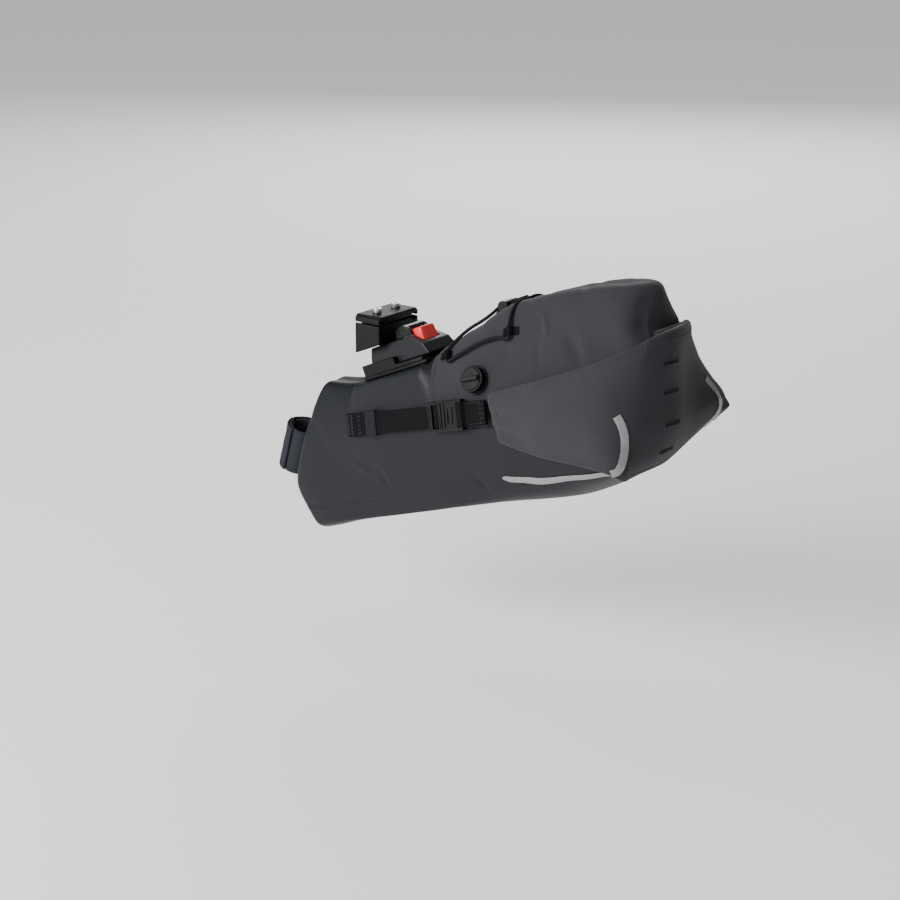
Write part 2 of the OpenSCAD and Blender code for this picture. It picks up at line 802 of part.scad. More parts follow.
// Arm that flexes inwards; its shoulder sits behind the edge of the window
module prong(side, up) {
    color(moulded_black)
    in_strap(side)
        translate([0, 6.5, 0])
        rotate([90, 0, 0])
        linear_extrude(3)
        polygon([for (c = [[131.9, 6.4], [134, 6.4], [145, 7.4], [147.2, 9], [146.4, 12.4],
                           [140.4, 12.8], [139, 10.4], [134, 9.8], [131.9, 9.8]])
                 [c[0], up * c[1]]]);
}
module prong_top_left() { prong(-1, 1); }
module prong_low_left() { prong(-1, -1); }
module prong_top_right() { prong(1, 1); }
module prong_low_right() { prong(1, -1); }

module buckle_female(side) {
    color(moulded_black)
    in_strap(side) difference() {
        block([FEMALE_P0, 1.9, -BUCKLE_HALF_W], [FEMALE_P1, 8.1, BUCKLE_HALF_W]);
        block([FEMALE_P0 - 1, 3.1, -11.4], [149, 6.9, 11.4]);
        // Side windows
        for (s = [-1, 1])
            block([138, 2.9, s > 0 ? 11 : -20], [148.4, 7.1, s > 0 ? 20 : -11]);
        // Slot for the wing's tab, leaving the end bar
        block([151.6, 0, -TAB_HALF - 0.2], [154.8, 10, TAB_HALF + 0.2]);
    }
}
module buckle_female_left() { buckle_female(-1); }
module buckle_female_right() { buckle_female(1); }

// Webbing loop round the female half's bar, sewn to the wing's tip
TAB_PATH = [[183, 3.2], [159.2, 3.2], [158.9, 1.1], [153.3, 1.1], [153.2, 9], [158.9, 9],
            [160.4, 4.8], [183, 4.8]];

module wing_tab(side) {
    color(webbing_black)
    in_strap(side) across(-TAB_HALF, TAB_HALF) polygon(stroke(TAB_PATH, web_t));
}
module wing_tab_left() { wing_tab(-1); }
module wing_tab_right() { wing_tab(1); }

// ------------------------------------------------------------------- valve
module valve_flange() {
    color(moulded_black)
    in_valve() difference() {
        union() {
            translate([0, 0, 1.2]) cylinder(r = valve_r + 1, h = 2);
            translate([0, 0, -7]) cylinder(r = VALVE_NECK_R, h = 9);
        }
        translate([0, 0, -8]) cylinder(r = 6.05, h = 20);
    }
}

module valve_nut() {
    color(moulded_black)
    in_valve() translate([0, 0, -6.8]) difference() {
        cylinder(r = 12, h = 2.4);
        translate([0, 0, -1]) cylinder(r = VALVE_NECK_R + 0.02, h = 5);
    }
}

module valve_seal() {
    color(foam_black)
    in_valve() {
        difference() {
            translate([0, 0, 3.3]) cylinder(r = 9, h = 0.9);
            translate([0, 0, 2]) cylinder(r = 6.6, h = 4);
        }
        // Membrane that closes the air way from inside
        translate([0, 0, -8]) cylinder(r = VALVE_NECK_R - 0.4, h = 0.9);
    }
}

module valve_knob() {
    grips = 24;
    color(moulded_black)
    in_valve() translate([0, 0, 4.3]) difference() {
        union() {
            cylinder(r = valve_r, h = 5);
            translate([0, 0, 5 - gap]) cylinder(r = valve_r - 2, h = 1.2);
            translate([0, 0, 7]) cube([4, 2 * valve_r - 6, 4.4], center = true);
            translate([0, 0, -9]) cylinder(r = 6, h = 10);
        }
        for (i = [0:grips - 1])
            rotate([0, 0, 360 * i / grips])
            translate([valve_r + 0.4, 0, -1])
            cylinder(r = 1, h = 8);
        // Air way
        translate([0, 0, -10]) cylinder(r = 3.5, h = 9);
    }
}

// ------------------------------------------------------------- elastic cord
// Anchor loops, two in front and two behind, on each side of the crown
ANCHORS = [[229, 29.5, 69.6, 56], [304, 31.3, 82.6, 64]];

module cord_anchors() {
    color(webbing_black)
    in_bag()
        for (a = ANCHORS, side = [-1, 1])
            on_side(side)
            translate([a[0], a[1], a[2]])
            rotate([-a[3], 0, 0])
            difference() {
                block([-5.5, -4.5, 0.4], [5.5, 4.5, 6]);
                block([-3, -6, 1.3], [3, 6, 5.2]);
            }
}

// Right half of the cord's route in the bag's frame; the left half mirrors it.
// It runs from the tail's end through the lock, down to the front anchor,
// back along the side to the rear anchor and up over the crown.
CORD_HALF = [
    [303, 0.4, 105.6], [301.6, 3, 105.4], [297.5, 4.6, 104.8], [293.5, 3.4, 104], [290, 2.4, 102.8],
    [286.6, 2.2, 102.2], [276, 2.2, 102.2], [272, 3, 100.4], [266, 5.4, 95.4], [258, 9, 91.4],
    [247, 15, 87.4], [238, 21.5, 82.2], [231.5, 26.4, 77.6], [229, 29.6, 74.6], [229, 32.6, 70.6],
    [229.8, 35, 67.2], [233, 36, 65.8], [240, 35.4, 68], [253, 34.8, 72], [267, 34.4, 76.2],
    [281, 34.4, 79], [292, 34.8, 79.4], [299.4, 36.5, 77.6], [303.3, 37, 78.4], [304, 36.2, 80.8],
    [304, 34.4, 84.4],
    [304, 32, 88.6], [304.4, 26.4, 96], [305.2, 19, 102.2], [306, 10, 104.4], [306, 0, 104.2]
];

function tube_frame(route, i) =
    let (n = len(route),
         t = unit(route[min(i + 1, n - 1)] - route[max(i - 1, 0)]),
         up = abs(t[2]) > 0.9 ? [1, 0, 0] : [0, 0, 1],
         side = unit(cross(t, up)),
         top = cross(side, t))
    [side, top];

module tube(route, r) {
    k = 8;
    n = len(route);
    points = [for (i = [0:n - 1])
        let (f = tube_frame(route, i))
        for (j = [0:k - 1])
            route[i] + r * (cos(360 * j / k) * f[0] + sin(360 * j / k) * f[1])];
    sides = [for (i = [0:n - 2], j = [0:k - 1])
        let (a = i * k + j, b = i * k + (j + 1) % k)
        each [[a, a + k, b], [b, a + k, b + k]]];
    caps = [[for (j = [0:k - 1]) j], [for (j = [k - 1:-1:0]) (n - 1) * k + j]];
    polyhedron(points, concat(sides, caps), convexity = 8);
}

function mirror_w(p) = [p[0], -p[1], p[2]];
CORD_ROUTE = concat(
    [for (p = CORD_HALF) mirror_w(p)],
    [for (i = [len(CORD_HALF) - 2:-1:0]) CORD_HALF[i]]);

module bungee_cord() {
    color(webbing_black)
    in_bag() tube(CORD_ROUTE, cord_r);
}

// --------------------------------------------------------------- cord lock
LOCK_R = 5.4;
LOCK_HALF = 7.5;
PLUNGER_R = 3.8;
LOCK_PRESS = 3.5;

module in_lock() {
    in_bag() translate([LOCK_U, 0, LOCK_V]) rotate([-90, 0, 0]) children();
}

module cord_lock_body() {
    color(moulded_black)
    in_lock() difference() {
        translate([0, 0, -LOCK_HALF]) cylinder(r = LOCK_R, h = 2 * LOCK_HALF);
        translate([0, 0, -LOCK_HALF + 1.4]) cylinder(r = PLUNGER_R + 0.1, h = 2 * LOCK_HALF);
        block([-9, -1.9, -4.4], [9, 1.9, 4.4]);
    }
}

module cord_lock_plunger() {
    color(moulded_black)
    in_lock() difference() {
        union() {
            translate([0, 0, -1.8]) cylinder(r = PLUNGER_R, h = LOCK_HALF + LOCK_PRESS + 2.4);
            translate([0, 0, LOCK_HALF + LOCK_PRESS + 0.4]) cylinder(r = PLUNGER_R + 0.8, h = 1.6);
        }
        block([-9, -1.9, -5], [9, 1.9, 8.4]);
    }
}

module cord_lock_spring() {
    color(steel)
    in_lock()
        for (i = [0:1])
            translate([0, 0, -LOCK_HALF + 1.9 + 0.85 * i])
            rotate_extrude()
            translate([2.6, 0])
            circle(r = 0.4, $fn = 16);
}

// ---------------------------------------------------------------- assembly
front_shell();
upper_shell();
lower_shell();
nose_board();
floor_board();
roll_closure();
closure_stiffener();
rear_panel();
wing_left();
wing_right();
reflector_left();
reflector_right();
base_plate();
release_housing();
release_button();
button_spring();
latch_leaf();
latch_hood();
backing_plate();
adapter_screws();
adapter_inserts();
rail_bracket();
rail_cap();
rail_bolts();
rail_nuts();
strap_anchor();
post_pad();
post_band();
far_pad();
far_band();
band_tip();
hook_patch();
side_strap_left();
side_strap_right();
bartack_left();
bartack_right();
keeper_left();
keeper_right();
buckle_male_left();
buckle_male_right();
prong_top_left();
prong_low_left();
prong_top_right();
prong_low_right();
buckle_female_left();
buckle_female_right();
wing_tab_left();
wing_tab_right();
valve_flange();
valve_nut();
valve_seal();
valve_knob();
cord_anchors();
bungee_cord();
cord_lock_body();
cord_lock_plunger();
cord_lock_spring();
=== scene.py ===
import math
from contextlib import contextmanager

import bmesh
import bpy
import numpy as np
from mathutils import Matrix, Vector, kdtree, noise


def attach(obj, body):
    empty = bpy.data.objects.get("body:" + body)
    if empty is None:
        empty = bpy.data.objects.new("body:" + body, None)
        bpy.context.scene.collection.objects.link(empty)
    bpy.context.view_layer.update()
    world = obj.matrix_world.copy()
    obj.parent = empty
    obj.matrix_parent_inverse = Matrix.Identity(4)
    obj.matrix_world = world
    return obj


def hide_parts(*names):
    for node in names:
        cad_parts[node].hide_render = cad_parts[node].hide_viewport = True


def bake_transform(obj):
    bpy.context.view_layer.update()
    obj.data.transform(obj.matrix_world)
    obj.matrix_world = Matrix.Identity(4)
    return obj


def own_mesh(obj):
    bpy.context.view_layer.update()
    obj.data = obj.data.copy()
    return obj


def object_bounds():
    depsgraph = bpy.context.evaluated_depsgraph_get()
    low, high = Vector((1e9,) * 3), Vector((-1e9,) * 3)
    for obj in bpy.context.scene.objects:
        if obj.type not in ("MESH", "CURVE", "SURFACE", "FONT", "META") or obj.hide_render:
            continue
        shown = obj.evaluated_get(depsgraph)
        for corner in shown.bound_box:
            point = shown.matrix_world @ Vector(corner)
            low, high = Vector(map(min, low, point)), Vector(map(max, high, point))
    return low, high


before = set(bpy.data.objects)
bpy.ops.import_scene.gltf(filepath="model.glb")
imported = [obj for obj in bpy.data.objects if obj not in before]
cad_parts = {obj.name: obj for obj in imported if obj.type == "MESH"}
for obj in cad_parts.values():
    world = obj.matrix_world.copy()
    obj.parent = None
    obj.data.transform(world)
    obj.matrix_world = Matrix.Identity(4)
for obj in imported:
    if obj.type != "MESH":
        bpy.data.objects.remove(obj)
CAD_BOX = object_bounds()

# ---- camera
camera_data = bpy.data.cameras.new("camera")
camera_data.lens = 82.96
camera_data.sensor_width = 36
camera_data.clip_end = 60
camera = bpy.data.objects.new("camera", camera_data)
bpy.context.scene.collection.objects.link(camera)
CAM_AZ, CAM_EL = math.radians(37.99), math.radians(18.05)
cam_back = Vector((math.sin(CAM_AZ) * math.cos(CAM_EL), -math.cos(CAM_AZ) * math.cos(CAM_EL), math.sin(CAM_EL)))
camera.location = (1.27416, -1.40251, 0.61177)
camera.rotation_euler = cam_back.to_track_quat("Z", "Y").to_euler()
bpy.context.scene.camera = camera

# ---- frames of the part
TILT = math.radians(16)
POST_LEAN = math.radians(90 - 74.1)
ADAPTER_TILT = math.radians(23)
ADAPTER_AT = [97, 0, 86]
STRAP_AT = [97.0, 37.0, 20.5]
STRAP_YAW = math.radians(5.5)
STRAP_ROLL = math.radians(10)


def turned(p, angle):
    """Points (along, across, up) turned nose-up by angle."""
    p = np.atleast_2d(np.asarray(p, float))
    c, s = math.cos(angle), math.sin(angle)
    return np.stack([p[:, 0] * c - p[:, 2] * s, p[:, 1], p[:, 0] * s + p[:, 2] * c], 1)


def from_bag(p):
    return turned(p, TILT) / 1000


def from_post(p):
    return turned(p, -POST_LEAN) / 1000


def from_adapter(p):
    return (turned(p, ADAPTER_TILT) + ADAPTER_AT) / 1000


def strap_to_bag(p, side):
    """Side-strap points (along, outward, up) in bag coordinates."""
    p = turned(np.atleast_2d(np.asarray(p, float))[:, [1, 0, 2]], STRAP_ROLL)
    y, along, up = p.T
    u = along * math.cos(STRAP_YAW) - y * math.sin(STRAP_YAW)
    w = along * math.sin(STRAP_YAW) + y * math.cos(STRAP_YAW)
    return np.stack([STRAP_AT[0] + u, side * (STRAP_AT[1] + w), STRAP_AT[2] + up], 1)


def from_strap(p, side):
    return from_bag(strap_to_bag(p, side))


def strap_axis(axis, side):
    """Unit vector of the row frame along one of the strap's own axes."""
    return (from_strap([axis], side) - from_strap([[0, 0, 0]], side))[0] * 1000


def between(grid, i, j, a, b):
    """The grid's value at shares a and b between its points i, j and i + 1, j + 1."""
    near, far = (grid[k, j] * (1 - b) + grid[k, j + 1] * b for k in (i, i + 1))
    return near * (1 - a) + far * a


def smooth_step(a, b, x):
    t = np.clip((np.asarray(x, float) - a) / (b - a), 0, 1)
    return t * t * (3 - 2 * t)


def rows_unit(v):
    return v / np.maximum(np.linalg.norm(v, axis=-1, keepdims=True), 1e-9)


# ---- materials
class Graph:
    """A material's node tree, with short ways to add and join nodes."""

    def __init__(self, name, coord=None):
        self.material = bpy.data.materials.new(name)
        self.material.use_nodes = True
        self.tree = self.material.node_tree
        self.shader = self.tree.nodes["Principled BSDF"]
        self.where = self.node("TexCoord").outputs[coord] if coord else None

    def node(self, kind, **values):
        n = self.tree.nodes.new("ShaderNode" + kind)
        for k, v in values.items():
            setattr(n, k, v)
        return n

    def feed(self, socket, x):
        if isinstance(x, (int, float, tuple)):
            socket.default_value = x
        else:
            self.tree.links.new(x, socket)

    def math(self, op, a, b=None):
        n = self.node("Math", operation=op)
        self.feed(n.inputs[0], a)
        if b is not None:
            self.feed(n.inputs[1], b)
        return n.outputs[0]

    def add(self, a, b):
        return self.math("ADD", a, b)

    def times(self, a, b):
        return self.math("MULTIPLY", a, b)

    def sine(self, a):
        return self.math("SINE", a)

    def noise(self, scale, detail=3.0, rough=0.5):
        n = self.node("TexNoise")
        for key, x in (("Scale", scale), ("Detail", detail), ("Roughness", rough), ("Vector", self.where)):
            self.feed(n.inputs[key], x)
        return n.outputs["Fac"]

    def ramp(self, fac, low, high, c0, c1):
        n = self.node("ValToRGB")
        for stop, place, colour in zip(n.color_ramp.elements, (low, high), (c0, c1)):
            stop.position = place
            stop.color = (*colour, 1)
        self.feed(n.inputs[0], fac)
        return n.outputs[0]

    def bump(self, height, strength, distance=0.0001):
        n = self.node("Bump")
        for key, x in (("Strength", strength), ("Distance", distance), ("Height", height)):
            self.feed(n.inputs[key], x)
        self.feed(self.shader.inputs["Normal"], n.outputs[0])

    def surface(self, **values):
        for key, x in values.items():
            self.feed(self.shader.inputs[key.replace("_", " ")], x)


def linear(rgb):
    return tuple((c / 255 / 12.92) if c <= 10 else ((c / 255 + 0.055) / 1.055) ** 2.4 for c in rgb)


def scaled(rgb, k):
    return tuple(min(1.0, c * k) for c in rgb)


RIB_PITCH = 0.0031


def cloth(name, rgb, pitch, rough=0.8, bump=0.25, kind="plain", coord="UV", blotch=0.12, fine=0.0, sheen=0.0,
          height=0.0002, spec=0.12):
    """Woven cloth. Coordinates are metres along and across the cloth; pitch is one thread pair in mm."""
    g = Graph(name, coord)
    rgb = linear(rgb)
    parts = g.node("SeparateXYZ")
    g.feed(parts.inputs[0], g.where)
    x, y = parts.outputs[0], parts.outputs[1]
    k = 2 * math.pi / (pitch / 1000)
    wobble = g.times(g.math("SUBTRACT", g.noise(260, 2), 0.5), 3.0)
    sx = g.sine(g.add(g.times(x, k), wobble))
    sy = g.sine(g.add(g.times(y, k), wobble))
    if kind == "ribs":
        rib = g.sine(g.times(y, 2 * math.pi / RIB_PITCH))
        weave = g.add(g.add(g.times(rib, 0.42), g.times(sx, 0.10)), g.times(g.times(sx, sy), 0.12))
    elif kind == "twill":
        weave = g.times(g.sine(g.add(g.times(g.add(x, y), k), wobble)), 0.5)
    else:
        weave = g.times(g.times(sx, sy), 0.5)
    weave = g.add(weave, 0.5)
    mottled = g.noise(34, 4, 0.6)
    grainy = g.noise(900, 3, 0.6)
    mix = g.node("Mix", data_type="RGBA", blend_type="MULTIPLY")
    mix.inputs[0].default_value = 1.0
    g.feed(mix.inputs["A"], g.ramp(mottled, 0.32, 0.68, scaled(rgb, 1 - blotch), scaled(rgb, 1 + blotch)))
    thread = g.add(g.times(weave, 0.7), g.times(grainy, 0.3))
    g.feed(mix.inputs["B"], g.ramp(thread, 0.15, 0.85, (1 - fine,) * 3, (1 + fine,) * 3))
    g.surface(Base_Color=mix.outputs["Result"], Roughness=g.add(g.times(mottled, 0.14), rough - 0.07),
              Specular_IOR_Level=spec)
    if sheen:
        g.surface(Sheen_Weight=sheen, Sheen_Roughness=0.5)
    g.bump(g.add(weave, g.times(grainy, 0.5)), bump, height)
    return g.material


def moulded(name, rgb, rough=0.42, grain=0.12, coat=0.0, metallic=0.0, spec=0.5, scale=2600, wear=0.25):
    """Moulded plastic or plated metal with a fine spark-eroded grain and slightly rubbed patches."""
    g = Graph(name, "Object")
    rgb = linear(rgb)
    worn = g.ramp(g.noise(60, 5, 0.65), 0.3, 0.75, scaled(rgb, 1 - wear * 0.5), scaled(rgb, 1 + wear))
    g.surface(Base_Color=worn, Roughness=g.add(g.times(g.noise(220), 0.16), rough - 0.08),
              Metallic=metallic, Specular_IOR_Level=spec, Coat_Weight=coat)
    g.bump(g.noise(scale, 2), grain)
    return g.material


def reflective_tape(name):
    g = Graph(name, "UV")
    cells = g.node("TexVoronoi")
    g.feed(cells.inputs["Scale"], 1400)
    g.feed(cells.inputs["Vector"], g.where)
    bead = cells.outputs["Distance"]
    grey = g.ramp(bead, 0.1, 0.75, linear((150, 151, 150)), linear((118, 120, 120)))
    g.surface(Base_Color=grey, Metallic=0.15, Roughness=g.add(g.times(g.noise(120), 0.2), 0.28))
    g.bump(bead, 0.15)
    return g.material


RIBBED = dict(bump=0.8, kind="ribs", blotch=0.1, fine=0.2, height=0.0004)
MAT = {
    "coated": cloth("coated_cloth", (17, 19, 23), 0.5, rough=0.5, bump=0.10, blotch=0.06, fine=0.03, spec=0.22),
    "woven": cloth("woven_cloth", (45, 44, 48), 0.9, rough=0.82, bump=0.5, blotch=0.05, fine=0.10, sheen=0.1),
    "panel": cloth("panel_cloth", (48, 47, 51), 1.5, rough=0.85, bump=0.9, blotch=0.05, fine=0.16, sheen=0.1),
    "webbing": cloth("ribbed_webbing", (15, 15, 17), 1.1, rough=0.7, spec=0.06, **RIBBED),
    "elastic": cloth("elastic_tape", (32, 32, 35), 1.0, spec=0.08, rough=0.75, **RIBBED),
    "hook": cloth("hook_cloth", (26, 26, 28), 1.6, rough=0.95, bump=1.0, coord="Object", fine=0.3),
    "band": cloth("band_cloth", (38, 40, 45), 0.9, rough=0.75, bump=0.4, coord="Object", fine=0.12),
    "braid": cloth("cord_braid", (26, 26, 29), 1.4, rough=0.7, bump=0.9, kind="twill", blotch=0.1, fine=0.35,
                   height=0.0003),
    "thread": cloth("stitch_thread", (62, 62, 66), 0.6, rough=0.6, bump=0.5, kind="twill", coord="Object"),
    # Dark thread of the stitching, also used as painted shade in the openings of the lamp slots
    "dark_thread_and_slit_shade": cloth("dark_thread_and_slit_shade", (20, 20, 22), 0.6, rough=0.7, bump=0.5, kind="twill", coord="Object"),
    "black": moulded("black_plastic", (7, 7, 8), rough=0.32, spec=0.24),
    "black_matt": moulded("black_matt_plastic", (11, 11, 12), rough=0.55, grain=0.2, spec=0.18),
    "grey": moulded("grey_plastic", (19, 21, 24), grain=0.2, spec=0.24),
    "red": moulded("red_plastic", (250, 44, 38), rough=0.35, grain=0.1, coat=0.2, wear=0.1),
    "steel": moulded("plated_steel", (190, 192, 196), rough=0.3, metallic=1.0, grain=0.1),
    "brass": moulded("plain_brass", (190, 160, 95), rough=0.35, metallic=1.0, grain=0.1),
    "foam": moulded("foam_rubber", (36, 36, 38), rough=0.85, grain=0.8, scale=900, spec=0.3),
    "board": moulded("sheet_plastic", (40, 40, 42), rough=0.6, grain=0.3),
    "tape": reflective_tape("reflective_tape"),
}


# ---- mesh building
def set_uv(mesh, uv):
    layer = mesh.uv_layers.new(name="UVMap")
    index = np.zeros(len(mesh.loops), np.int32)
    mesh.loops.foreach_get("vertex_index", index)
    layer.data.foreach_set("uv", np.asarray(uv, float)[index].astype(np.float32).ravel())


@contextmanager
def editing(mesh):
    bm = bmesh.new()
    bm.from_mesh(mesh)
    yield bm
    bm.to_mesh(mesh)
    bm.free()


def vectors(items, key):
    """Coordinates or normals of all of a mesh's vertices, as rows."""
    flat = np.zeros(len(items) * 3, np.float32)
    items.foreach_get(key, flat)
    return flat.reshape(-1, 3)


def link(name, data):
    o = bpy.data.objects.new(name, data)
    bpy.context.scene.collection.objects.link(o)
    return o


def finish_piece(o, material, body, nodes):
    """Material, and what the piece stands for and rides on."""
    o.data.materials.clear()
    o.data.materials.append(material)
    o.data.polygons.foreach_set("use_smooth", [True] * len(o.data.polygons))
    if nodes:
        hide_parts(*nodes)
    if body:
        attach(o, body)
    return o


def new_object(name, points, faces, material, body="bag", uv=None, replaces=(), sharp=None):
    mesh = bpy.data.meshes.new(name)
    mesh.from_pydata([tuple(p) for p in np.asarray(points, float)], [], [tuple(f) for f in faces])
    mesh.validate()
    if uv is not None:
        set_uv(mesh, uv)
    with editing(mesh) as bm:
        bmesh.ops.recalc_face_normals(bm, faces=bm.faces)
    o = finish_piece(link(name, mesh), material, body, replaces)
    if sharp is not None:
        mesh.set_sharp_from_angle(angle=math.radians(sharp))
    return o


RIPPLE_RATE = 90


def apply_modifiers(o):
    bpy.context.view_layer.update()
    graph = bpy.context.evaluated_depsgraph_get()
    mesh = bpy.data.meshes.new_from_object(o.evaluated_get(graph))
    o.modifiers.clear()
    o.data = mesh


def refined(node, material, body, voxel=0.6, rounds=4, keep=0.5, ripple=0.0):
    """A copy of a CAD node with its moulded edges rounded over, standing for the node."""
    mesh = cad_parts[node].data.copy()
    o = link(node + "_moulded", mesh)
    with editing(mesh) as bm:
        bmesh.ops.remove_doubles(bm, verts=bm.verts, dist=1e-6)
    remesh = o.modifiers.new("remesh", "REMESH")
    remesh.mode = "VOXEL"
    remesh.voxel_size = voxel / 1000
    relax = o.modifiers.new("relax", "SMOOTH")
    relax.factor = 0.5
    relax.iterations = rounds
    thin = o.modifiers.new("thin", "DECIMATE")
    thin.ratio = keep
    apply_modifiers(o)
    if ripple:
        co, out = vectors(o.data.vertices, "co"), vectors(o.data.vertex_normals, "vector")
        lift = np.array([noise.noise(Vector(c) * RIPPLE_RATE) for c in co]) * ripple / 1000
        o.data.vertices.foreach_set("co", (co + out * lift[:, None]).astype(np.float32).ravel())
        o.data.update()
    return finish_piece(o, material, body, (node,))


def repaint(node, material):
    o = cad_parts[node]
    o.data.materials.clear()
    o.data.materials.append(material)


def grid_faces(rows, cols, wrap_cols=False):
    """Quads between rows of points, each row closed on itself with wrap_cols."""
    faces = []
    for i in range(rows - 1):
        for j in range(cols if wrap_cols else cols - 1):
            k = (j + 1) % cols
            faces.append((i * cols + j, i * cols + k, (i + 1) * cols + k, (i + 1) * cols + j))
    return faces


def end_faces(rows, cols):
    return [tuple(range(cols)), tuple(range((rows - 1) * cols, rows * cols))]


def hermite(a, b, ma, mb, t):
    """A cubic from a to b with slopes ma and mb."""
    ease = t * t * (3 - 2 * t)
    return a * (1 - ease) + b * ease + ma * t * (1 - t) ** 2 - mb * t * t * (1 - t)


def catmull(points, count):
    """A smooth line through points, evenly spaced."""
    p = np.asarray(points, float)
    n = len(p)
    fine = []
    for i in range(n - 1):
        a, b, c, d = p[max(i - 1, 0)], p[i], p[i + 1], p[min(i + 2, n - 1)]
        fine += [hermite(b, c, (c - a) / 2, (d - b) / 2, t) for t in np.arange(0, 1, 0.05)]
    return resample(np.array(fine + [p[-1]]), count)


def run_along(line):
    """Distance run at each point of a line."""
    return np.concatenate([[0], np.cumsum(np.linalg.norm(np.diff(line, axis=0), axis=1))])


def run_across(grid):
    return np.stack([run_along(row) for row in grid])


def resample(line, count):
    line = np.asarray(line, float)
    d = run_along(line[:, :3])
    at = np.linspace(0, d[-1], count)
    return np.stack([np.interp(at, d, line[:, k]) for k in range(line.shape[1])], 1)


def tangents(line):
    return rows_unit(np.gradient(np.asarray(line, float), axis=0))


def ribbon(name, line, normal, half, thick, material, slot="webbing", replaces=(), caps=True, across=None,
           cols=9):
    """A flat strap with rounded edges along a line in row metres; half width and thickness in metres."""
    line = np.asarray(line, float)
    n = len(line)
    t = tangents(line)
    normal = rows_unit(np.asarray(normal, float) * np.ones((n, 3)))
    side = rows_unit(np.cross(normal, t)) if across is None else rows_unit(across * np.ones((n, 3)))
    normal = rows_unit(np.cross(t, side))
    half = np.asarray(half, float) * np.ones(n)
    shape = []
    for way in (1, -1):
        for x in way * np.linspace(-1, 1, cols):
            edge = math.sqrt(max(0, 1 - max(0, (abs(x) - 0.9) / 0.1) ** 2))
            shape.append((x, way * 0.5 * (0.35 + 0.65 * edge) * thick))
    run = run_along(line)
    pts, uvs = [], []
    for i in range(n):
        pts += [line[i] + side[i] * half[i] * x + normal[i] * h for x, h in shape]
        uvs += [(run[i], half[i] * x) for x, h in shape]
    faces = grid_faces(n, len(shape), True)
    if caps:
        faces += end_faces(n, len(shape))
    return new_object(name, pts, faces, material, uv=uvs, replaces=replaces, sharp=50)


def tube(name, line, radius, material, body="bag", sides=14, replaces=(), closed_loop=False):
    line = np.asarray(line, float)
    n = len(line)
    t = rows_unit(np.roll(line, -1, 0) - np.roll(line, 1, 0)) if closed_loop else tangents(line)
    ref = np.cross(t[0], [0, 0, 1.0])
    if np.linalg.norm(ref) < 0.1:
        ref = np.cross(t[0], [1.0, 0, 0])
    pts, uvs = [], []
    run = run_along(line)
    radius = np.asarray(radius, float) * np.ones(n)
    for i in range(n):
        ref = rows_unit(ref - t[i] * (ref @ t[i]))
        top = np.cross(t[i], ref)
        for a in 2 * math.pi * np.arange(sides) / sides:
            pts.append(line[i] + radius[i] * (math.cos(a) * ref + math.sin(a) * top))
            uvs.append((run[i], abs(a - math.pi) * radius[i]))
    faces = grid_faces(n, sides, True)
    if closed_loop:
        k = (n - 1) * sides
        faces += [(k + j, k + (j + 1) % sides, (j + 1) % sides, j) for j in range(sides)]
    else:
        faces += end_faces(n, sides)
    return new_object(name, pts, faces, material, body, uv=uvs, replaces=replaces)


class Stitches:
    """Runs of thread gathered into one piece."""

    # Share of the stitch's length, thickness and height of each of its rings
    RINGS = ((0, 0.35, -0.6), (0.18, 0.9, 0.25), (0.5, 1.0, 0.55), (0.82, 0.9, 0.25), (1, 0.35, -0.6))
    SIDES = 6

    def __init__(self):
        self.points, self.faces = [], []

    def one(self, a, b, up, r):
        t = rows_unit(b - a)
        up = rows_unit(np.asarray(up, float) - t * (np.asarray(up, float) @ t))
        side = np.cross(t, up)
        base = len(self.points)
        for f, k, lift in self.RINGS:
            c = a + (b - a) * f + up * lift * r
            for q in 2 * math.pi * np.arange(self.SIDES) / self.SIDES:
                self.points.append(c + k * r * (math.cos(q) * side + math.sin(q) * up))
        rings = len(self.RINGS)
        for face in grid_faces(rings, self.SIDES, True) + end_faces(rings, self.SIDES):
            self.faces.append(tuple(base + j for j in face))

    def row(self, line, normal, length=0.0026, gap=0.0011, r=0.00026):
        line = np.asarray(line, float)
        count = max(1, int(run_along(line)[-1] / (length + gap)))
        both = resample(np.hstack([line, np.asarray(normal, float) * np.ones((len(line), 3))]), count * 4 + 1)
        keep = length / (length + gap)
        for i in range(count):
            a, b = both[4 * i], both[4 * i + 4]
            self.one(a[:3], a[:3] + (b[:3] - a[:3]) * keep, both[4 * i + 2][3:], r)

    def zigzag(self, a, b, across, up, width, pitch, r=0.0003):
        across = rows_unit(across)
        n = max(2, int(np.linalg.norm(b - a) / pitch))
        for i in range(n):
            s = 1 if i % 2 else -1
            p, q = a + (b - a) * i / n, a + (b - a) * (i + 1) / n
            self.one(p - across * s * width / 2, q + across * s * width / 2, up, r)

    def piece(self, name, material, body="bag"):
        return new_object(name, self.points, self.faces, material, body)


# ---- bag shell
# Rows as in the part: u, crown, shoulder (half width, height), side, lower edge, floor
SECTIONS = np.array([
    [4, 60, 17, 56, 27.5, 12, 26, -54, 19, -76],
    [30, 56, 19, 53.5, 30, 12, 29, -56, 21, -74.5],
    [60, 54, 21, 52.5, 32, 12, 31, -57, 23, -72],
    [110, 56, 24, 54, 37.5, 14, 34.5, -57, 25, -69.5],
    [160, 60.5, 27, 58, 43.2, 15, 39, -56, 27, -67],
    [196, 64.5, 28, 61, 47, 15, 43, -54, 28, -65.5],
    [218, 76, 28, 68, 49, 14, 45, -52, 29, -65],
    [260, 89, 28, 80, 53, 12, 50, -48, 30, -64],
    [300, 101, 27, 90, 56.5, 7, 55, -44, 31, -64],
    [350, 104, 27, 94, 62, 2, 60.5, -42, 31, -62],
    [400, 105, 27, 96, 66, 0, 66, -35, 36, -46],
    [418, 104, 26, 94, 65, 12, 66, -18, 44, -22],
    [430, 101, 22, 90, 52, 34, 50, 12, 40, 6],
    [438, 93, 12, 83, 25, 66, 24, 60, 20, 58],
], float)
NOSE_U, END_U, KINK_V = 4.0, 438.0, -32.0
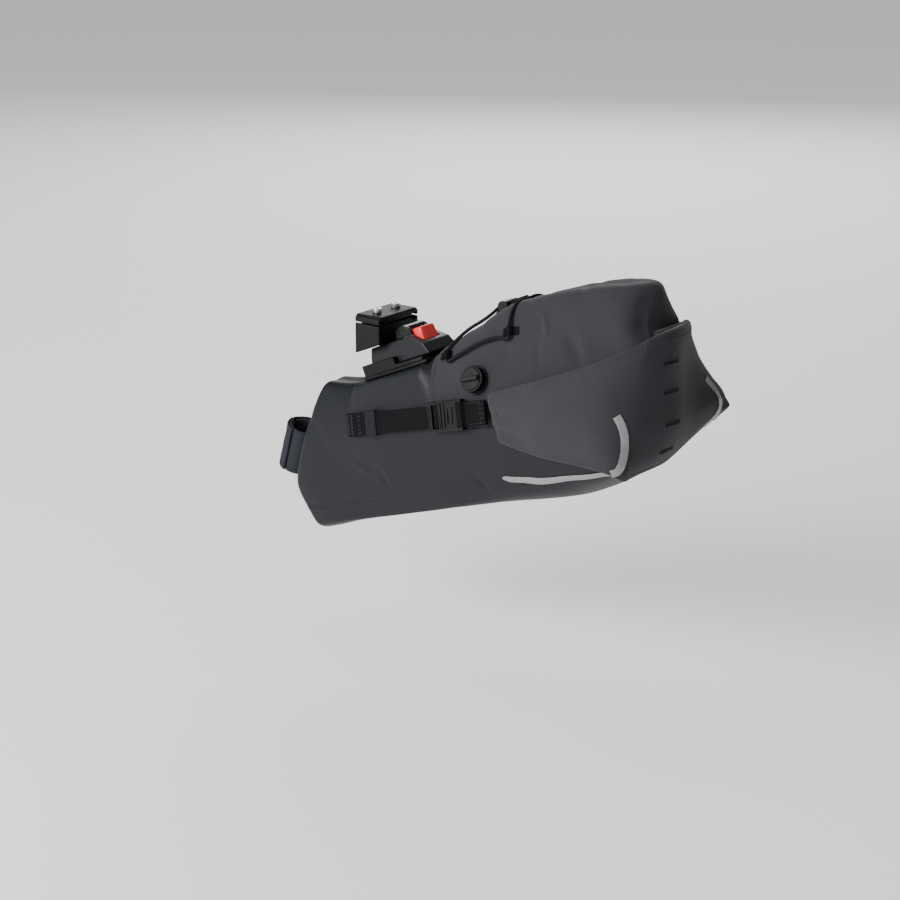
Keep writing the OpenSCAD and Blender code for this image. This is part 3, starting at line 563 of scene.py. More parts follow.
SEAM_U, SEAM_V = 210.0, 8.0
AROUND = 208


def section_row(u):
    i = int(np.clip(np.searchsorted(SECTIONS[:, 0], u, side="right") - 1, 0, len(SECTIONS) - 2))
    p, a, b, q = (SECTIONS[k] for k in (max(i - 1, 0), i, i + 1, min(i + 2, len(SECTIONS) - 1)))
    step = b[0] - a[0]
    return hermite(a, b, (b - p) / (b[0] - p[0]) * step, (q - a) / (q[0] - a[0]) * step, (u - a[0]) / step)


def ring_line(u, inset=0.0):
    """Points (w, v) round the bag at u, from the floor's middle, up the right side and down the left."""
    s = section_row(u)
    c = np.array([[0, s[1]], [s[2], s[3]], [s[4], s[5]], [s[6], s[7]], [s[8], s[9]],
                  [-s[8], s[9]], [-s[6], s[7]], [-s[4], s[5]], [-s[2], s[3]]])
    steps, n, pts = 24, len(c), []
    for i in range(n):
        a, b = c[i], c[(i + 1) % n]
        ma, mb = (b - c[i - 1]) / 2, (c[(i + 2) % n] - a) / 2
        for j in range(steps):
            pts.append(hermite(a, b, ma, mb, j / steps))
    pts = np.roll(np.array(pts), -int(4.5 * steps), axis=0)[::-1]
    pts = np.vstack([pts, pts[:1]])
    mid = (s[1] + s[9]) / 2
    k_w, k_v = 1 - inset / s[4], 1 - inset / ((s[1] - s[9]) / 2)
    pts = np.stack([pts[:, 0] * k_w, mid + (pts[:, 1] - mid) * k_v], 1)
    if pts[len(pts) // 4, 0] < 0:
        pts = pts[::-1]
    return resample(np.hstack([pts, np.zeros((len(pts), 1))]), AROUND + 1)[:, :2]


def nose_lean(v):
    x = v - KINK_V
    return 0.5 * ((0.6215 - 0.35) * x + (0.6215 + 0.35) * np.sqrt(x * x + 100)) - 2.0


def nose_fade(u):
    return 0.5 + 0.5 * math.cos(math.pi * np.clip((u - NOSE_U) / 170, 0, 1))


def shell_ring(u, inset, shrink=1.0, bulge=0.0):
    wv = ring_line(u, inset)
    s = section_row(u)
    mid = (s[1] + s[9]) / 2
    w, v = wv[:, 0] * shrink, mid + (wv[:, 1] - mid) * shrink
    return np.stack([u + bulge + nose_lean(v) * nose_fade(u), w, v], 1)


# Rings from nose to rear: u, inset, shrink and bulge
RINGS = [(NOSE_U, 4.0, k, 0.0) for k in (0.02, 0.15, 0.3, 0.45, 0.6, 0.72, 0.82, 0.9, 0.96)]
for a in np.linspace(0, math.pi / 2, 9):
    RINGS.append((NOSE_U + 7 * (1 - math.cos(a)), 4.0 * (1 - math.sin(a)), 1.0, 0.0))
RINGS += [(u, 0, 1.0, 0.0) for u in (*np.arange(13, 418, 1.9), *np.arange(418, 438, 1.25))]
RINGS += [(END_U - 0.01, 0, k, 2.0 * (1 - k * k)) for k in (1, 0.93, 0.84, 0.72, 0.58, 0.42, 0.25, 0.1, 0.02)]
RING_US = np.array([ring[0] for ring in RINGS]) + np.arange(len(RINGS)) * 1e-6


def grid_normals(g):
    """Outward normals of a grid whose rows run from nose to rear."""
    n = rows_unit(np.cross(np.gradient(g, axis=0), np.gradient(g, axis=1)))
    middle = g.mean(axis=1, keepdims=True)
    outward = np.sign(((g - middle) * n).sum(-1).mean(axis=1))
    n[:] *= np.sign(outward.sum())
    return n


def line_distance(p, line):
    """Distance of each 2-D point from a polyline, and how far along it (0 to 1)."""
    line = np.asarray(line, float)
    best, share = np.full(len(p), 1e9), np.zeros(len(p))
    for i in range(len(line) - 1):
        a, d = line[i], line[i + 1] - line[i]
        t = np.clip(((p - a) @ d) / max(d @ d, 1e-9), 0, 1)
        e = np.linalg.norm(p - a - t[:, None] * d, axis=1)
        near = e < best
        best[near] = e[near]
        share[near] = (i + t[near]) / (len(line) - 1)
    return best, share


# Creases: side (-1 left, 1 right, 0 both), line in (u, v), width, height (below 0 is a valley)
CREASES = [
    (-1, [(331, 91), (337, 92), (341.5, 85), (341, 76)], 2.6, 1.7),
    (-1, [(336, 86), (336, 78)], 3.0, -1.2),
    (-1, [(363, 73), (367, 66), (372, 57), (376, 47)], 5.5, -3.2),
    (-1, [(376, 73), (381, 62), (385, 50)], 6.0, 1.2),
    (-1, [(333, 70), (334, 57), (335, 45)], 4.0, -0.9),
    (-1, [(392, 62), (405, 55), (418, 50)], 5.0, -1.6),
    (-1, [(96, -8), (104, -16), (118, -20), (129, -28), (133, -41)], 3.0, -1.0),
    (-1, [(98, -14), (106, -22), (118, -26), (125, -33)], 4.0, 0.7),
    (-1, [(246, -36), (252, -43), (255, -52)], 3.0, -0.9),
    (-1, [(222, 60), (236, 52), (246, 40)], 5.0, -0.9),
    (-1, [(216, 40), (228, 32), (238, 22)], 5.0, -0.8),
    (-1, [(282, 88), (296, 70), (300, 52)], 7.0, -0.9),
    (-1, [(150, 40), (168, 36), (190, 34)], 5.0, -0.6),
    (-1, [(30, 38), (48, 20), (60, -4)], 8.0, -1.0),
    (-1, [(20, -30), (60, -38), (110, -48)], 9.0, 0.8),
    (1, [(325, 92), (331, 84), (333, 74)], 2.8, 1.5),
    (1, [(358, 72), (366, 60), (370, 47)], 6.0, -2.8),
    (1, [(374, 70), (380, 58)], 6.0, 1.1),
    (1, [(92, -10), (108, -20), (126, -30), (132, -42)], 3.4, -1.0),
    (1, [(240, -34), (250, -44), (252, -52)], 3.0, -0.9),
    (1, [(225, 58), (240, 46), (246, 34)], 5.0, -0.9),
    (1, [(34, 36), (46, 18), (64, -6)], 8.0, -0.9),
    (1, [(280, 86), (292, 72), (300, 50)], 7.0, -0.9),
    (1, [(395, 62), (408, 54), (420, 48)], 5.0, -1.4),
]


def cloth_noise(p, size, seed):
    off = Vector((seed * 7.3, seed * 3.1, seed * 5.7))
    return np.array([noise.noise(Vector((a / size, b / size, c / size)) + off) for a, b, c in p])


def shell_relief(flat):
    """How far the cloth stands out of or falls into its even shape, in mm."""
    u, w, v = flat[:, 0], flat[:, 1], flat[:, 2]
    h = np.zeros(len(flat))
    woven = smooth_step(SEAM_U - 2, SEAM_U + 8, u) * smooth_step(SEAM_V - 2, SEAM_V + 6, v)
    h += cloth_noise(flat, 70, 1) * (1.0 + 0.6 * woven) + cloth_noise(flat, 26, 2) * (0.25 + 0.45 * woven)
    for side, line, width, height in CREASES:
        d, share = line_distance(np.stack([u, v], 1), line)
        fade = np.sin(np.pi * (share * 0.86 + 0.07)) ** 0.7
        h += height * np.exp(-(d / width) ** 2) * fade * smooth_step(6, 16, w * side)
    # Welded seam along the lower edge, and the tuck above it
    low = np.interp(u, SECTIONS[:, 0], SECTIONS[:, 7])
    on = smooth_step(8, 20, u) * (1 - smooth_step(300, 340, u)) * smooth_step(14, 20, np.abs(w))
    h += on * (0.9 * np.exp(-((v - low + 1.0) / 1.3) ** 2) - 0.7 * np.exp(-((v - low - 3.0) / 2.6) ** 2))
    # Cloth drawn in along the seam between nose and body, and under the straps
    ring = smooth_step(SEAM_V - 3, SEAM_V + 4, v)
    h -= ring * 0.9 * np.exp(-((u - SEAM_U) / 2.4) ** 2)
    for k in range(18):
        a = -54 + k * 7.1 + 2.2 * math.sin(k * 2.3)
        gather = np.exp(-((v - a) / 1.9) ** 2) * np.exp(-((u - SEAM_U - 5) / 7) ** 2)
        h += 0.35 * ring * gather * smooth_step(22, 30, np.abs(w)) * math.cos(k * 1.7)
    # Crown: shallow cross folds behind the adapter
    crown = smooth_step(30, 12, np.abs(w)) * smooth_step(50, 62, v)
    for u0, deep in ((226, -1.3), (243, 0.8), (262, -0.9), (318, -0.7), (372, -0.9)):
        h += crown * deep * np.exp(-((u - u0 - 0.12 * np.abs(w)) / 5.5) ** 2)
    return h


LEVEL_V = [-60, -46, -36, -14, 8, 30, 48, 60, 90]
RIGHT_DU = [10, 16, 20, 13, 2, -7, -11, -12, -6]
RIGHT_DW = [0, 2, 0, -1, 3, 5, 6, 6, 0]
RIGHT_DV = [22, 22, 18, 6, -1, 0, 0, -1, 0]
LEFT_DU = [0, 0, 0, 0, 0, 3, 5, 6, 4]


def twist(p):
    """The loaded rear end is turned a little: its right side lies further forward and its corner higher."""
    p = np.array(p, float)
    f = smooth_step(330, 415, p[:, 0])
    right = smooth_step(-10, 72, p[:, 1]) * f
    left = smooth_step(10, -50, p[:, 1]) * f
    v = p[:, 2].copy()
    p[:, 0] += right * np.interp(v, LEVEL_V, RIGHT_DU) + left * np.interp(v, LEVEL_V, LEFT_DU)
    p[:, 1] += right * np.interp(v, LEVEL_V, RIGHT_DW)
    p[:, 2] += right * np.interp(v, LEVEL_V, RIGHT_DV)
    w = p[:, 1]
    bend = 7.0 * np.exp(-((w + 16) / 26) ** 2)
    p[:, 0] += f * bend * smooth_step(-62, -30, v) * (1 - 0.75 * smooth_step(34, 66, v))
    return p


CROWN_U = [240, 270, 295, 322, 381, 410, 425, 436]
CROWN_RISE = [0, 2.5, 3.2, 2.2, 1.2, 0, 1.8, 3]


def filled(p):
    """The crown stands fuller at the rear, and the cloth meets the adapter's base all round."""
    p = np.array(p, float)
    u, w, v = p[:, 0].copy(), np.abs(p[:, 1]), p[:, 2].copy()
    crown = smooth_step(42, 18, w) * smooth_step(70, 92, v)
    p[:, 2] += crown * np.interp(u, CROWN_U, CROWN_RISE)
    p[:, 0] += 3 * smooth_step(421, 435, u) * smooth_step(84, 98, v)
    p[:, 0] -= 8 * smooth_step(10, -30, p[:, 1]) * smooth_step(404, 438, u) * smooth_step(52, 72, v)
    seat = 55.7 + (u - 116.9) * 0.1223
    near = smooth_step(48, 31, w) * smooth_step(96, 112, u) * smooth_step(212, 196, u) * smooth_step(30, 44, v)
    p[:, 2] += near * np.maximum(0, seat - 0.2 - v)
    return p


# Stations from the left wing's tip round the rear; each runs from the lower edge to the top, in (u, w, v)
WING = [
    [[291, 61.2, -5], [289, 60.4, 6], [287, 59, 16], [285.5, 57.2, 26], [284, 55, 35]],
    [[332, 66.4, -19], [331, 66.4, -2], [331, 65.6, 14], [330, 63.2, 28], [329, 60, 40]],
    [[375, 72, -29], [376, 71.8, -10], [377, 71, 10], [378, 66.8, 30], [379, 60, 46]],
    [[404, 75, -37], [408, 75.6, -14], [410, 73, 8], [411, 66, 30], [413, 56.5, 51]],
]
# Rear panel: v, u at the middle, u at the edge, half width
PANEL_ROWS = [
    [-46, 407, 409, 68], [-36, 416, 416, 75], [-14, 429, 423.5, 76], [8, 436, 427, 71],
    [30, 440.5, 428.5, 62], [48, 444, 431, 52], [60, 445.5, 434, 42],
]
LEVELS = 72
ALONG = 300


def closure_stations():
    right = [catmull(st, LEVELS) for st in WING]
    for s in (0.93, 0.78, 0.52, 0.26):
        rows = [[edge + (mid - edge) * (1 - s * s), half * s, v] for v, mid, edge, half in PANEL_ROWS]
        right.append(catmull(rows, LEVELS))
    middle = catmull([[mid, 0, v] for v, mid, edge, half in PANEL_ROWS], LEVELS)
    return np.array([st * [1, -1, 1] for st in right] + [middle] + right[::-1])


def bell(x, middle, width):
    return np.exp(-((x - middle) / width) ** 2)


STATIONS = closure_stations()
CLOSURE = np.stack([catmull(STATIONS[:, j], ALONG) for j in range(LEVELS)], 1)
along = np.linspace(0, 1, ALONG)[:, None] * np.ones((1, LEVELS))
level = np.linspace(0, 1, LEVELS)[None, :] * np.ones((ALONG, 1))
# The sheet turns the corners softly, most of all above the lower edge
REACH = 45
weight = np.exp(-0.5 * (np.arange(-REACH, REACH + 1) / 15.0) ** 2)
weight /= weight.sum()
longer = np.pad(CLOSURE, ((REACH, REACH), (0, 0), (0, 0)), mode="edge")
soft = sum(k * longer[r:r + ALONG] for r, k in enumerate(weight))
turn = np.clip(bell(along, 0.335, 0.085) + 0.6 * bell(along, 0.665, 0.08), 0, 1) * smooth_step(0.02, 0.3, level)
CLOSURE = CLOSURE + (soft - CLOSURE) * turn[:, :, None]
CLOSURE_N = rows_unit(np.cross(np.gradient(CLOSURE, axis=0), np.gradient(CLOSURE, axis=1)))
if ((CLOSURE - [300.0, 0, 20]) * CLOSURE_N).sum(-1).mean() < 0:
    CLOSURE_N = -CLOSURE_N
rearness = smooth_step(0.18, 0.36, along) * smooth_step(0.82, 0.64, along)
flat = CLOSURE.reshape(-1, 3)
puff = (cloth_noise(flat, 60, 5) * 1.3 + cloth_noise(flat, 22, 6) * 0.45).reshape(ALONG, LEVELS)
tip = np.minimum(along, 1 - along)
pull = bell(tip, 0, 0.07) * np.sin(level * 17 + 1.0) * 0.5
billow = 3.4 * np.sin(np.pi * level) * smooth_step(0.03, 0.16, tip) * (1 - rearness)
slack = rearness * (1.2 * bell(level, 0.3, 0.2) - 1.6 * bell(level, 0.62, 0.16))
edge_hold = smooth_step(0, 0.08, level) * smooth_step(1, 0.93, level)
out = 1.4 + (puff + pull + slack) * (0.35 + 0.65 * edge_hold) + billow
OUTER = CLOSURE + CLOSURE_N * out[:, :, None]
roll = smooth_step(0.38, 0.46, along) * smooth_step(0.66, 0.58, along)
thick = 1.1 + 0.5 * bell(level, 0, 0.035) + (1.0 + 6.0 * roll) * bell(level, 1, 0.05 + 0.06 * roll)
thick *= 0.55 + 0.45 * smooth_step(0, 0.02, tip)
HALF_THICK = CLOSURE_N * thick[:, :, None] / 2


def inside_closure(p, gap=1.2):
    """Cloth under the wings and rear panel, pressed in wherever it would come through them."""
    sheet = twist((OUTER - HALF_THICK).reshape(-1, 3))
    out_way = rows_unit(twist((OUTER + CLOSURE_N).reshape(-1, 3)) - twist(OUTER.reshape(-1, 3)))
    tree = kdtree.KDTree(len(sheet))
    for i, q in enumerate(sheet):
        tree.insert(q, i)
    tree.balance()
    p = np.array(p, float)
    for k in np.where(p[:, 0] > 270)[0]:
        q, i, far = tree.find(p[k])
        if far > 40:
            continue
        d = p[k] - sheet[i]
        h = d @ out_way[i]
        off = np.linalg.norm(d - h * out_way[i])
        if h > -gap and off < 8:
            p[k] -= out_way[i] * (h + gap) * smooth_step(8, 3, off)
    return p


BASE = np.array([shell_ring(*ring) for ring in RINGS])
BASE_N = grid_normals(BASE)
ROWS, COLS = BASE.shape[:2]
relief = shell_relief(BASE.reshape(-1, 3)).reshape(ROWS, COLS)
relief[:, -1] = relief[:, 0]
SHELL = inside_closure(twist(filled((BASE + BASE_N * relief[:, :, None]).reshape(-1, 3)))).reshape(BASE.shape)
SHELL_N = grid_normals(SHELL)


def shell_point(u, frac, lift=0.0):
    """A point on the cloth at u (before leaning and twisting) and a share of the way round."""
    i = int(np.clip(np.searchsorted(RING_US, u) - 1, 0, ROWS - 2))
    a = (u - RING_US[i]) / max(RING_US[i + 1] - RING_US[i], 1e-6)
    j = int(np.clip(frac * (COLS - 1), 0, COLS - 2))
    b = frac * (COLS - 1) - j
    n = rows_unit(SHELL_N[i, j] + SHELL_N[i + 1, j + 1])
    return between(SHELL, i, j, a, b) + n * lift, n


def side_frac(u, v, side):
    """Share of the way round at which the ring at u passes height v on one side."""
    wv = ring_line(min(u, END_U - 0.1))
    half = AROUND // 2
    idx = np.arange(0, half + 1) if side > 0 else np.arange(AROUND, half - 1, -1)
    line = wv[idx]
    hit = np.where(line[:, 1] >= v)[0]
    k = hit[0] if len(hit) else len(idx) - 1
    if k == 0:
        return idx[0] / AROUND
    t = (v - line[k - 1, 1]) / max(line[k, 1] - line[k - 1, 1], 1e-6)
    return (idx[k - 1] + (idx[k] - idx[k - 1]) * t) / AROUND


def on_side(u, v, side, lift=0.0):
    return shell_point(u, side_frac(u, v, side), lift)


def cut_cloth(bm, woven):
    """Leave the woven or the coated side of the seam."""
    for point, direction in (((SEAM_X, 0, 0), (1, 0, 0)), ((0, 0, SEAM_V), (0, 0, 1))):
        whole = bm.verts[:] + bm.edges[:] + bm.faces[:]
        bmesh.ops.bisect_plane(bm, geom=whole, plane_co=point, plane_no=direction)
    middles = [(f, f.calc_center_median()) for f in bm.faces]
    away = [f for f, middle in middles if (middle.x > SEAM_X and middle.z > SEAM_V) != woven]
    bmesh.ops.delete(bm, geom=away, context="FACES")
    bmesh.ops.remove_doubles(bm, verts=bm.verts, dist=0.004)
    bmesh.ops.recalc_face_normals(bm, faces=bm.faces)


def shell_piece(name, material, nodes, woven):
    """The part of the shell that is woven or coated cloth, given its thickness."""
    around = run_across(BASE)
    around = around - around[:, -1:] / 2
    mesh = bpy.data.meshes.new(name)
    mesh.from_pydata([tuple(p) for p in SHELL.reshape(-1, 3)], [], grid_faces(ROWS, COLS))
    set_uv(mesh, np.stack([np.repeat(run_along(BASE[:, AROUND // 4]), COLS), around.ravel()], 1) / 1000)
    with editing(mesh) as bm:
        cut_cloth(bm, woven)
    co = from_bag(vectors(mesh.vertices, "co"))
    mesh.vertices.foreach_set("co", co.astype(np.float32).ravel())
    o = link(name, mesh)
    skin = o.modifiers.new("skin", "SOLIDIFY")
    skin.thickness = 0.0012
    skin.offset = -1
    apply_modifiers(o)
    return finish_piece(o, material, "bag", nodes)


SEAM_X = float(np.interp(SEAM_U, RING_US, SHELL[:, AROUND // 4, 0]))
shell_piece("coated_cloth", MAT["coated"], ("front_shell", "lower_shell"), False)
shell_piece("woven_cloth", MAT["woven"], ("upper_shell",), True)


# ---- closure: wings and rear
def closure_mesh():
    """A closed sheet: outer face, rounded top edge, inner face and rounded lower edge."""
    rows, uvs = [], []
    up = run_across(CLOSURE)
    run = run_along(CLOSURE[:, LEVELS // 2])
    for i in range(ALONG):
        ends = []
        for j, way in ((LEVELS - 1, 1), (0, -1)):
            edge = rows_unit(OUTER[i, j] - OUTER[i, j - way])
            a = np.radians([30, 60, 90, 120, 150])[:, None]
            ends.append(OUTER[i, j] + (CLOSURE_N[i, j] * np.cos(a) * way + edge * np.sin(a)) * thick[i, j] / 2)
        rows.append(np.vstack([OUTER[i] + HALF_THICK[i], ends[0], (OUTER[i] - HALF_THICK[i])[::-1], ends[1]]))
        rise = np.concatenate([up[i], [up[i, -1]] * 5, up[i, ::-1], [0] * 5])
        uvs.append(np.stack([np.full(len(rise), run[i]), rise], 1))
    m = len(rows[0])
    faces = grid_faces(ALONG, m, True) + end_faces(ALONG, m)
    new_object("closure_cloth", from_bag(twist(np.vstack(rows))), faces, MAT["panel"], uv=np.vstack(uvs) / 1000,
               replaces=("rear_panel", "wing_left", "wing_right"))


closure_mesh()


def closure_point(a, t, lift=0.0):
    """Outer face of the closure at shares a along it and t up it, in bag mm, with its normal."""
    i = int(np.clip(a * (ALONG - 1), 0, ALONG - 2))
    j = int(np.clip(t * (LEVELS - 1), 0, LEVELS - 2))
    fa, ft = a * (ALONG - 1) - i, t * (LEVELS - 1) - j
    n = CLOSURE_N[i, j]
    return twist((between(OUTER + HALF_THICK, i, j, fa, ft) + n * lift)[None])[0], n


def placed(both):
    """Row points and row normals from pairs of bag point and bag normal."""
    return from_bag([b[0] for b in both]), from_bag([b[1] for b in both]) * 1000


def closure_line(pairs, lift, count):
    pairs = resample(np.hstack([np.array(pairs, float), np.zeros((len(pairs), 1))]), count)[:, :2]
    return placed([closure_point(a, t, lift) for a, t in pairs])


# ---- stitched seams
seams = Stitches()
seam_span = sorted((side_frac(SEAM_U, SEAM_V + 1, 1), side_frac(SEAM_U, SEAM_V + 1, -1)))
for offset in (-3.4, 3.2):
    seams.row(*placed([shell_point(SEAM_U + offset, f, 0.25) for f in np.linspace(*seam_span, 120)]))
HEM = dict(length=0.003, gap=0.0013, r=0.0003)
for t in (0.03, 0.965):
    seams.row(*closure_line([(0.012, t), (0.988, t)], 0.1, 260), **HEM)
for a in (0.016, 0.984):
    seams.row(*closure_line([(a, 0.05), (a, 0.95)], 0.1, 40), **HEM)
for side in (-1, 1):
    us = np.linspace(22, 205, 60)
    low = np.interp(us, SECTIONS[:, 0], SECTIONS[:, 7]) + 2.2
    seams.row(*placed([on_side(u, v, side, 0.15) for u, v in zip(us, low)]))
seams.piece("seam_stitching", MAT["thread"])
ribbon("seam_tape", *placed([shell_point(SEAM_U - 0.2, f, 0.3) for f in np.linspace(*seam_span, 130)]),
       0.0024, 0.0009, MAT["woven"], slot="woven_fabric")

# ---- reflectors
# Lower strips: u, v and height; corner strips: shares along and up the closure
LOWER_STRIP = [(279.5, -37.5, 1.2), (284, -38.2, 3.4), (289.4, -39.6, 4.0), (303.9, -41.2, 4.0),
               (320.6, -42.0, 4.3), (343.3, -42.2, 4.0), (366.1, -41.5, 3.6), (388.7, -40.0, 3.8),
               (398, -41.6, 3.8), (404, -42.6, 3.6)]
CORNERS = {
    "left": [(0.322, 0.49), (0.330, 0.41), (0.334, 0.32), (0.333, 0.23), (0.326, 0.14), (0.316, 0.06),
             (0.306, 0.012)],
    "right": [(0.606, 0.56), (0.618, 0.45), (0.626, 0.34), (0.628, 0.23), (0.622, 0.12), (0.611, 0.02)],
}
for side, word in ((-1, "left"), (1, "right")):
    rows = catmull(LOWER_STRIP, 60)
    lower = placed([on_side(u, v + 0.5 * math.sin(u / 9.0), side, 0.55) for u, v, h in rows])
    ribbon("lower_reflector_" + word, *lower, rows[:, 2] * 0.72 / 1000, 0.0006, MAT["tape"], "reflective",
           ("reflector_" + word,))
    corner = closure_line(catmull([[a, t, 0] for a, t in CORNERS[word]], 60)[:, :2], 0.45, 60)
    ribbon("corner_reflector_" + word, *corner, 0.0034, 0.0006, MAT["tape"], "reflective")

# ---- lamp slots in the rear
SLOT_LEFT, SLOT_HALF = 20.0, 8.0
slots = Stitches()
for k, v in enumerate([38, 13, -11, -33]):
    row = min(range(LEVELS), key=lambda j: abs(CLOSURE[ALONG // 2, j, 2] - v))
    t = row / (LEVELS - 1)
    whole = np.linalg.norm(CLOSURE[ALONG // 2 + 8, row] - CLOSURE[ALONG // 2 - 8, row]) / 16 * (ALONG - 1)
    mid_a, reach = 0.5 - SLOT_LEFT / whole, SLOT_HALF / whole
    taper = np.sin(np.linspace(0.12, math.pi - 0.12, 30))
    # The dark tapered strip between the lips is painted shade standing for the slit's opening; the stitching
    # around it is real dark thread
    ribbon("lamp_slot_shade_%d" % (k + 1), *closure_line([(mid_a - reach, t), (mid_a + reach, t)], 0.1, 30),
           0.0008 * taper + 0.0002, 0.0005, MAT["dark_thread_and_slit_shade"], slot="panel_fabric")
    for dt, word in ((0.012, "top"), (-0.012, "low")):
        edge, out_way = closure_line([(mid_a - reach, t + dt), (mid_a + reach, t + dt)], 0.12, 30)
        tube("slot_lip_%d_%s" % (k + 1, word), edge, 0.00045, MAT["panel"], sides=8)
        slots.row(edge + out_way * 0.0004, out_way, 0.0012, 0.0006, 0.00016)
    for end in (-1, 1):
        a = mid_a + end * reach * 1.08
        near = ((a, t - 0.016, 0.1), (a, t + 0.016, 0.1), (a - 0.004, t), (a + 0.004, t))
        (p, q, left, right), out_way = placed([closure_point(*place) for place in near])
        slots.zigzag(p, q, right - left, out_way[0], 0.0012, 0.0005, 0.00018)
slots.piece("slot_stitching", MAT["dark_thread_and_slit_shade"])

# ---- roll of the mouth
refined("roll_closure", MAT["woven"], "bag", voxel=0.5, rounds=3, ripple=0.5)

# ---- side straps
LADDER = 124.8
HALF_WEB, HALF_PATCH = 10.0, 10.8
# Paths in (along the strap, outward): web round the ladder bar and back, sewn patch, tab round the socket's bar
WEB = [(5, 2.5), (24, 2.7), (LADDER + 1, 2.8), (LADDER + 2.5, 3.6), (LADDER + 2.6, 5.4), (LADDER + 1, 6.3),
       (LADDER - 1.4, 6.2), (LADDER - 3.4, 4.6), (LADDER - 8, 4.5), (34, 4.6), (27, 4.5)]
PATCH = [(4, 1.7), (24, 1.9)]
TAB = [(184, 3.1), (170, 3.2), (161, 3.1), (158.6, 1.3), (155, 1.05), (153.3, 1.3), (152.6, 4), (153.2, 8.4),
       (155, 9.1), (158.2, 8.9), (160.6, 5.6), (163, 4.8), (172, 4.7), (184, 4.7)]
# Ribs across the buckle: along, outward, half length
RIBS = {"female": ((133.0, 8.35, 11.4), (137.2, 8.35, 11.4), (141.0, 8.3, 7.0), (146.5, 8.3, 7.0)),
        "male": ((117.3, 7.3, 12.2), (130.6, 7.6, 12.2))}


def strap_ribbon(name, path, side, half, thick, count, node):
    dense = []
    for (a, b), (c, d) in zip(path[:-1], path[1:]):
        n = max(2, int(math.hypot(c - a, d - b) / 3))
        dense += [[a + (c - a) * i / n, b + (d - b) * i / n, 0] for i in range(n)]
    line = from_strap(catmull(dense + [[*path[-1], 0]], count), side)
    up = strap_axis([0, 0, 1], side)
    return ribbon(name, line, np.cross(tangents(line), up), half / 1000, thick / 1000, MAT["webbing"],
                  replaces=(node,), across=up, cols=13)


def keeper(word, side):
    ring = []
    for a in np.linspace(0, 2 * math.pi, 65):
        c, s = math.cos(a), math.sin(a)
        ring.append([39.5, 3.75 + 2.15 * np.sign(s) * abs(s) ** 0.35, 11.0 * np.sign(c) * abs(c) ** 0.22])
    ring[-1] = ring[0]
    ring = from_strap(ring, side)
    lengthways = strap_axis([1, 0, 0], side)
    ribbon("elastic_keeper_" + word, ring, np.cross(tangents(ring), lengthways), 0.0064, 0.0012, MAT["elastic"],
           replaces=("keeper_" + word,), across=lengthways, cols=11, caps=False)


def strap_stitching(word, side):
    st = Stitches()
    up, lengthways = strap_axis([0, 1, 0], side), strap_axis([1, 0, 0], side)
    for p in (7.2, 11.6):
        a, b = from_strap([[p, 3.45, -9.3], [p, 3.45, 9.3]], side)
        st.zigzag(a, b, lengthways, up, 0.0028, 0.00155, 0.00034)
    for p, q, half in ((20.5, 3.5, 9.4), (22.6, 3.5, 9.4), (178.5, 5.6, 9.8), (181.0, 5.6, 9.8)):
        st.row(from_strap([[p, q, r] for r in np.linspace(-half, half, 12)], side), up)
    for r in (-9.0, 9.0):
        st.row(from_strap([[p, 5.6, r] for p in np.linspace(165, 180, 8)], side), up)
    st.piece("strap_stitching_" + word, MAT["thread"])


for side, word in ((-1, "left"), (1, "right")):
    web = strap_ribbon("webbing_" + word, WEB, side, HALF_WEB, 1.4, 260, "side_strap_" + word)
    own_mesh(web)
    strap_ribbon("bartack_patch_" + word, PATCH, side, HALF_PATCH, 1.5, 24, "bartack_" + word)
    keeper(word, side)
    strap_ribbon("wing_tab_web_" + word, TAB, side, HALF_PATCH, 1.3, 150, "wing_tab_" + word)
    strap_stitching(word, side)
    for body, tag in (("bag", "female"), ("buckle_" + word, "male")):
        for k, (p, q, r) in enumerate(RIBS[tag]):
            line = from_strap([[p, q, x] for x in np.linspace(-r, r, 14)], side)
            ends = np.sin(np.linspace(0.25, math.pi - 0.25, 14)) ** 0.3
            tube("buckle_rib_%s_%d_%s" % (tag, k, word), line, 0.00075 * ends, MAT["black"], body, sides=8)
    for node, body, voxel in (("buckle_male_", "buckle_", 0.36), ("buckle_female_", "bag", 0.36),
                              ("prong_top_", "prong_top_", 0.3), ("prong_low_", "prong_low_", 0.3)):
        refined(node + word, MAT["black"], body if body == "bag" else body + word, voxel, 3)

# ---- adapter
for node, material, body, slot, voxel, rounds in (
    ("base_plate", "black_matt", "bag", "adapter_plastic", 0.7, 8),
    ("release_housing", "grey", "bag", "adapter_plastic", 0.7, 10),
    ("latch_hood", "black", "bag", "black_plastic", 0.5, 6),
    ("rail_bracket", "black_matt", "rail_mount", "black_plastic", 0.6, 5),
    ("rail_cap", "black_matt", "rail_mount", "black_plastic", 0.6, 5),
    ("rail_bolts", "steel", "rail_mount", "steel", 0.35, 2),
    ("valve_flange", "black_matt", "bag", "black_plastic", 0.4, 3),
    ("valve_knob", "black_matt", "valve_knob", "black_plastic", 0.35, 2),
    ("cord_lock_body", "black", "bag", "black_plastic", 0.35, 4),
    ("cord_lock_plunger", "black", "lock_plunger", "black_plastic", 0.35, 4),
):
    refined(node, MAT[material], body, voxel=voxel, rounds=rounds)
for material, nodes in (
    ("board", ("nose_board", "floor_board", "closure_stiffener", "backing_plate")),
    ("steel", ("adapter_screws", "rail_nuts")),
    ("brass", ("adapter_inserts",)), ("black_matt", ("valve_nut",)), ("foam", ("valve_seal",)),
):
    for node in nodes:
        repaint(node, MAT[material])

# Button: a soft-cornered block standing out of the housing, a little dished on top
BUTTON_AT, BUTTON_HALF = (68.5, 0, 25.0), (6.4, 10.4, 7.6)
BUTTON_ROWS, BUTTON_COLS = 25, 56


def squarish(x, power):
    return math.copysign(abs(x) ** power, x)


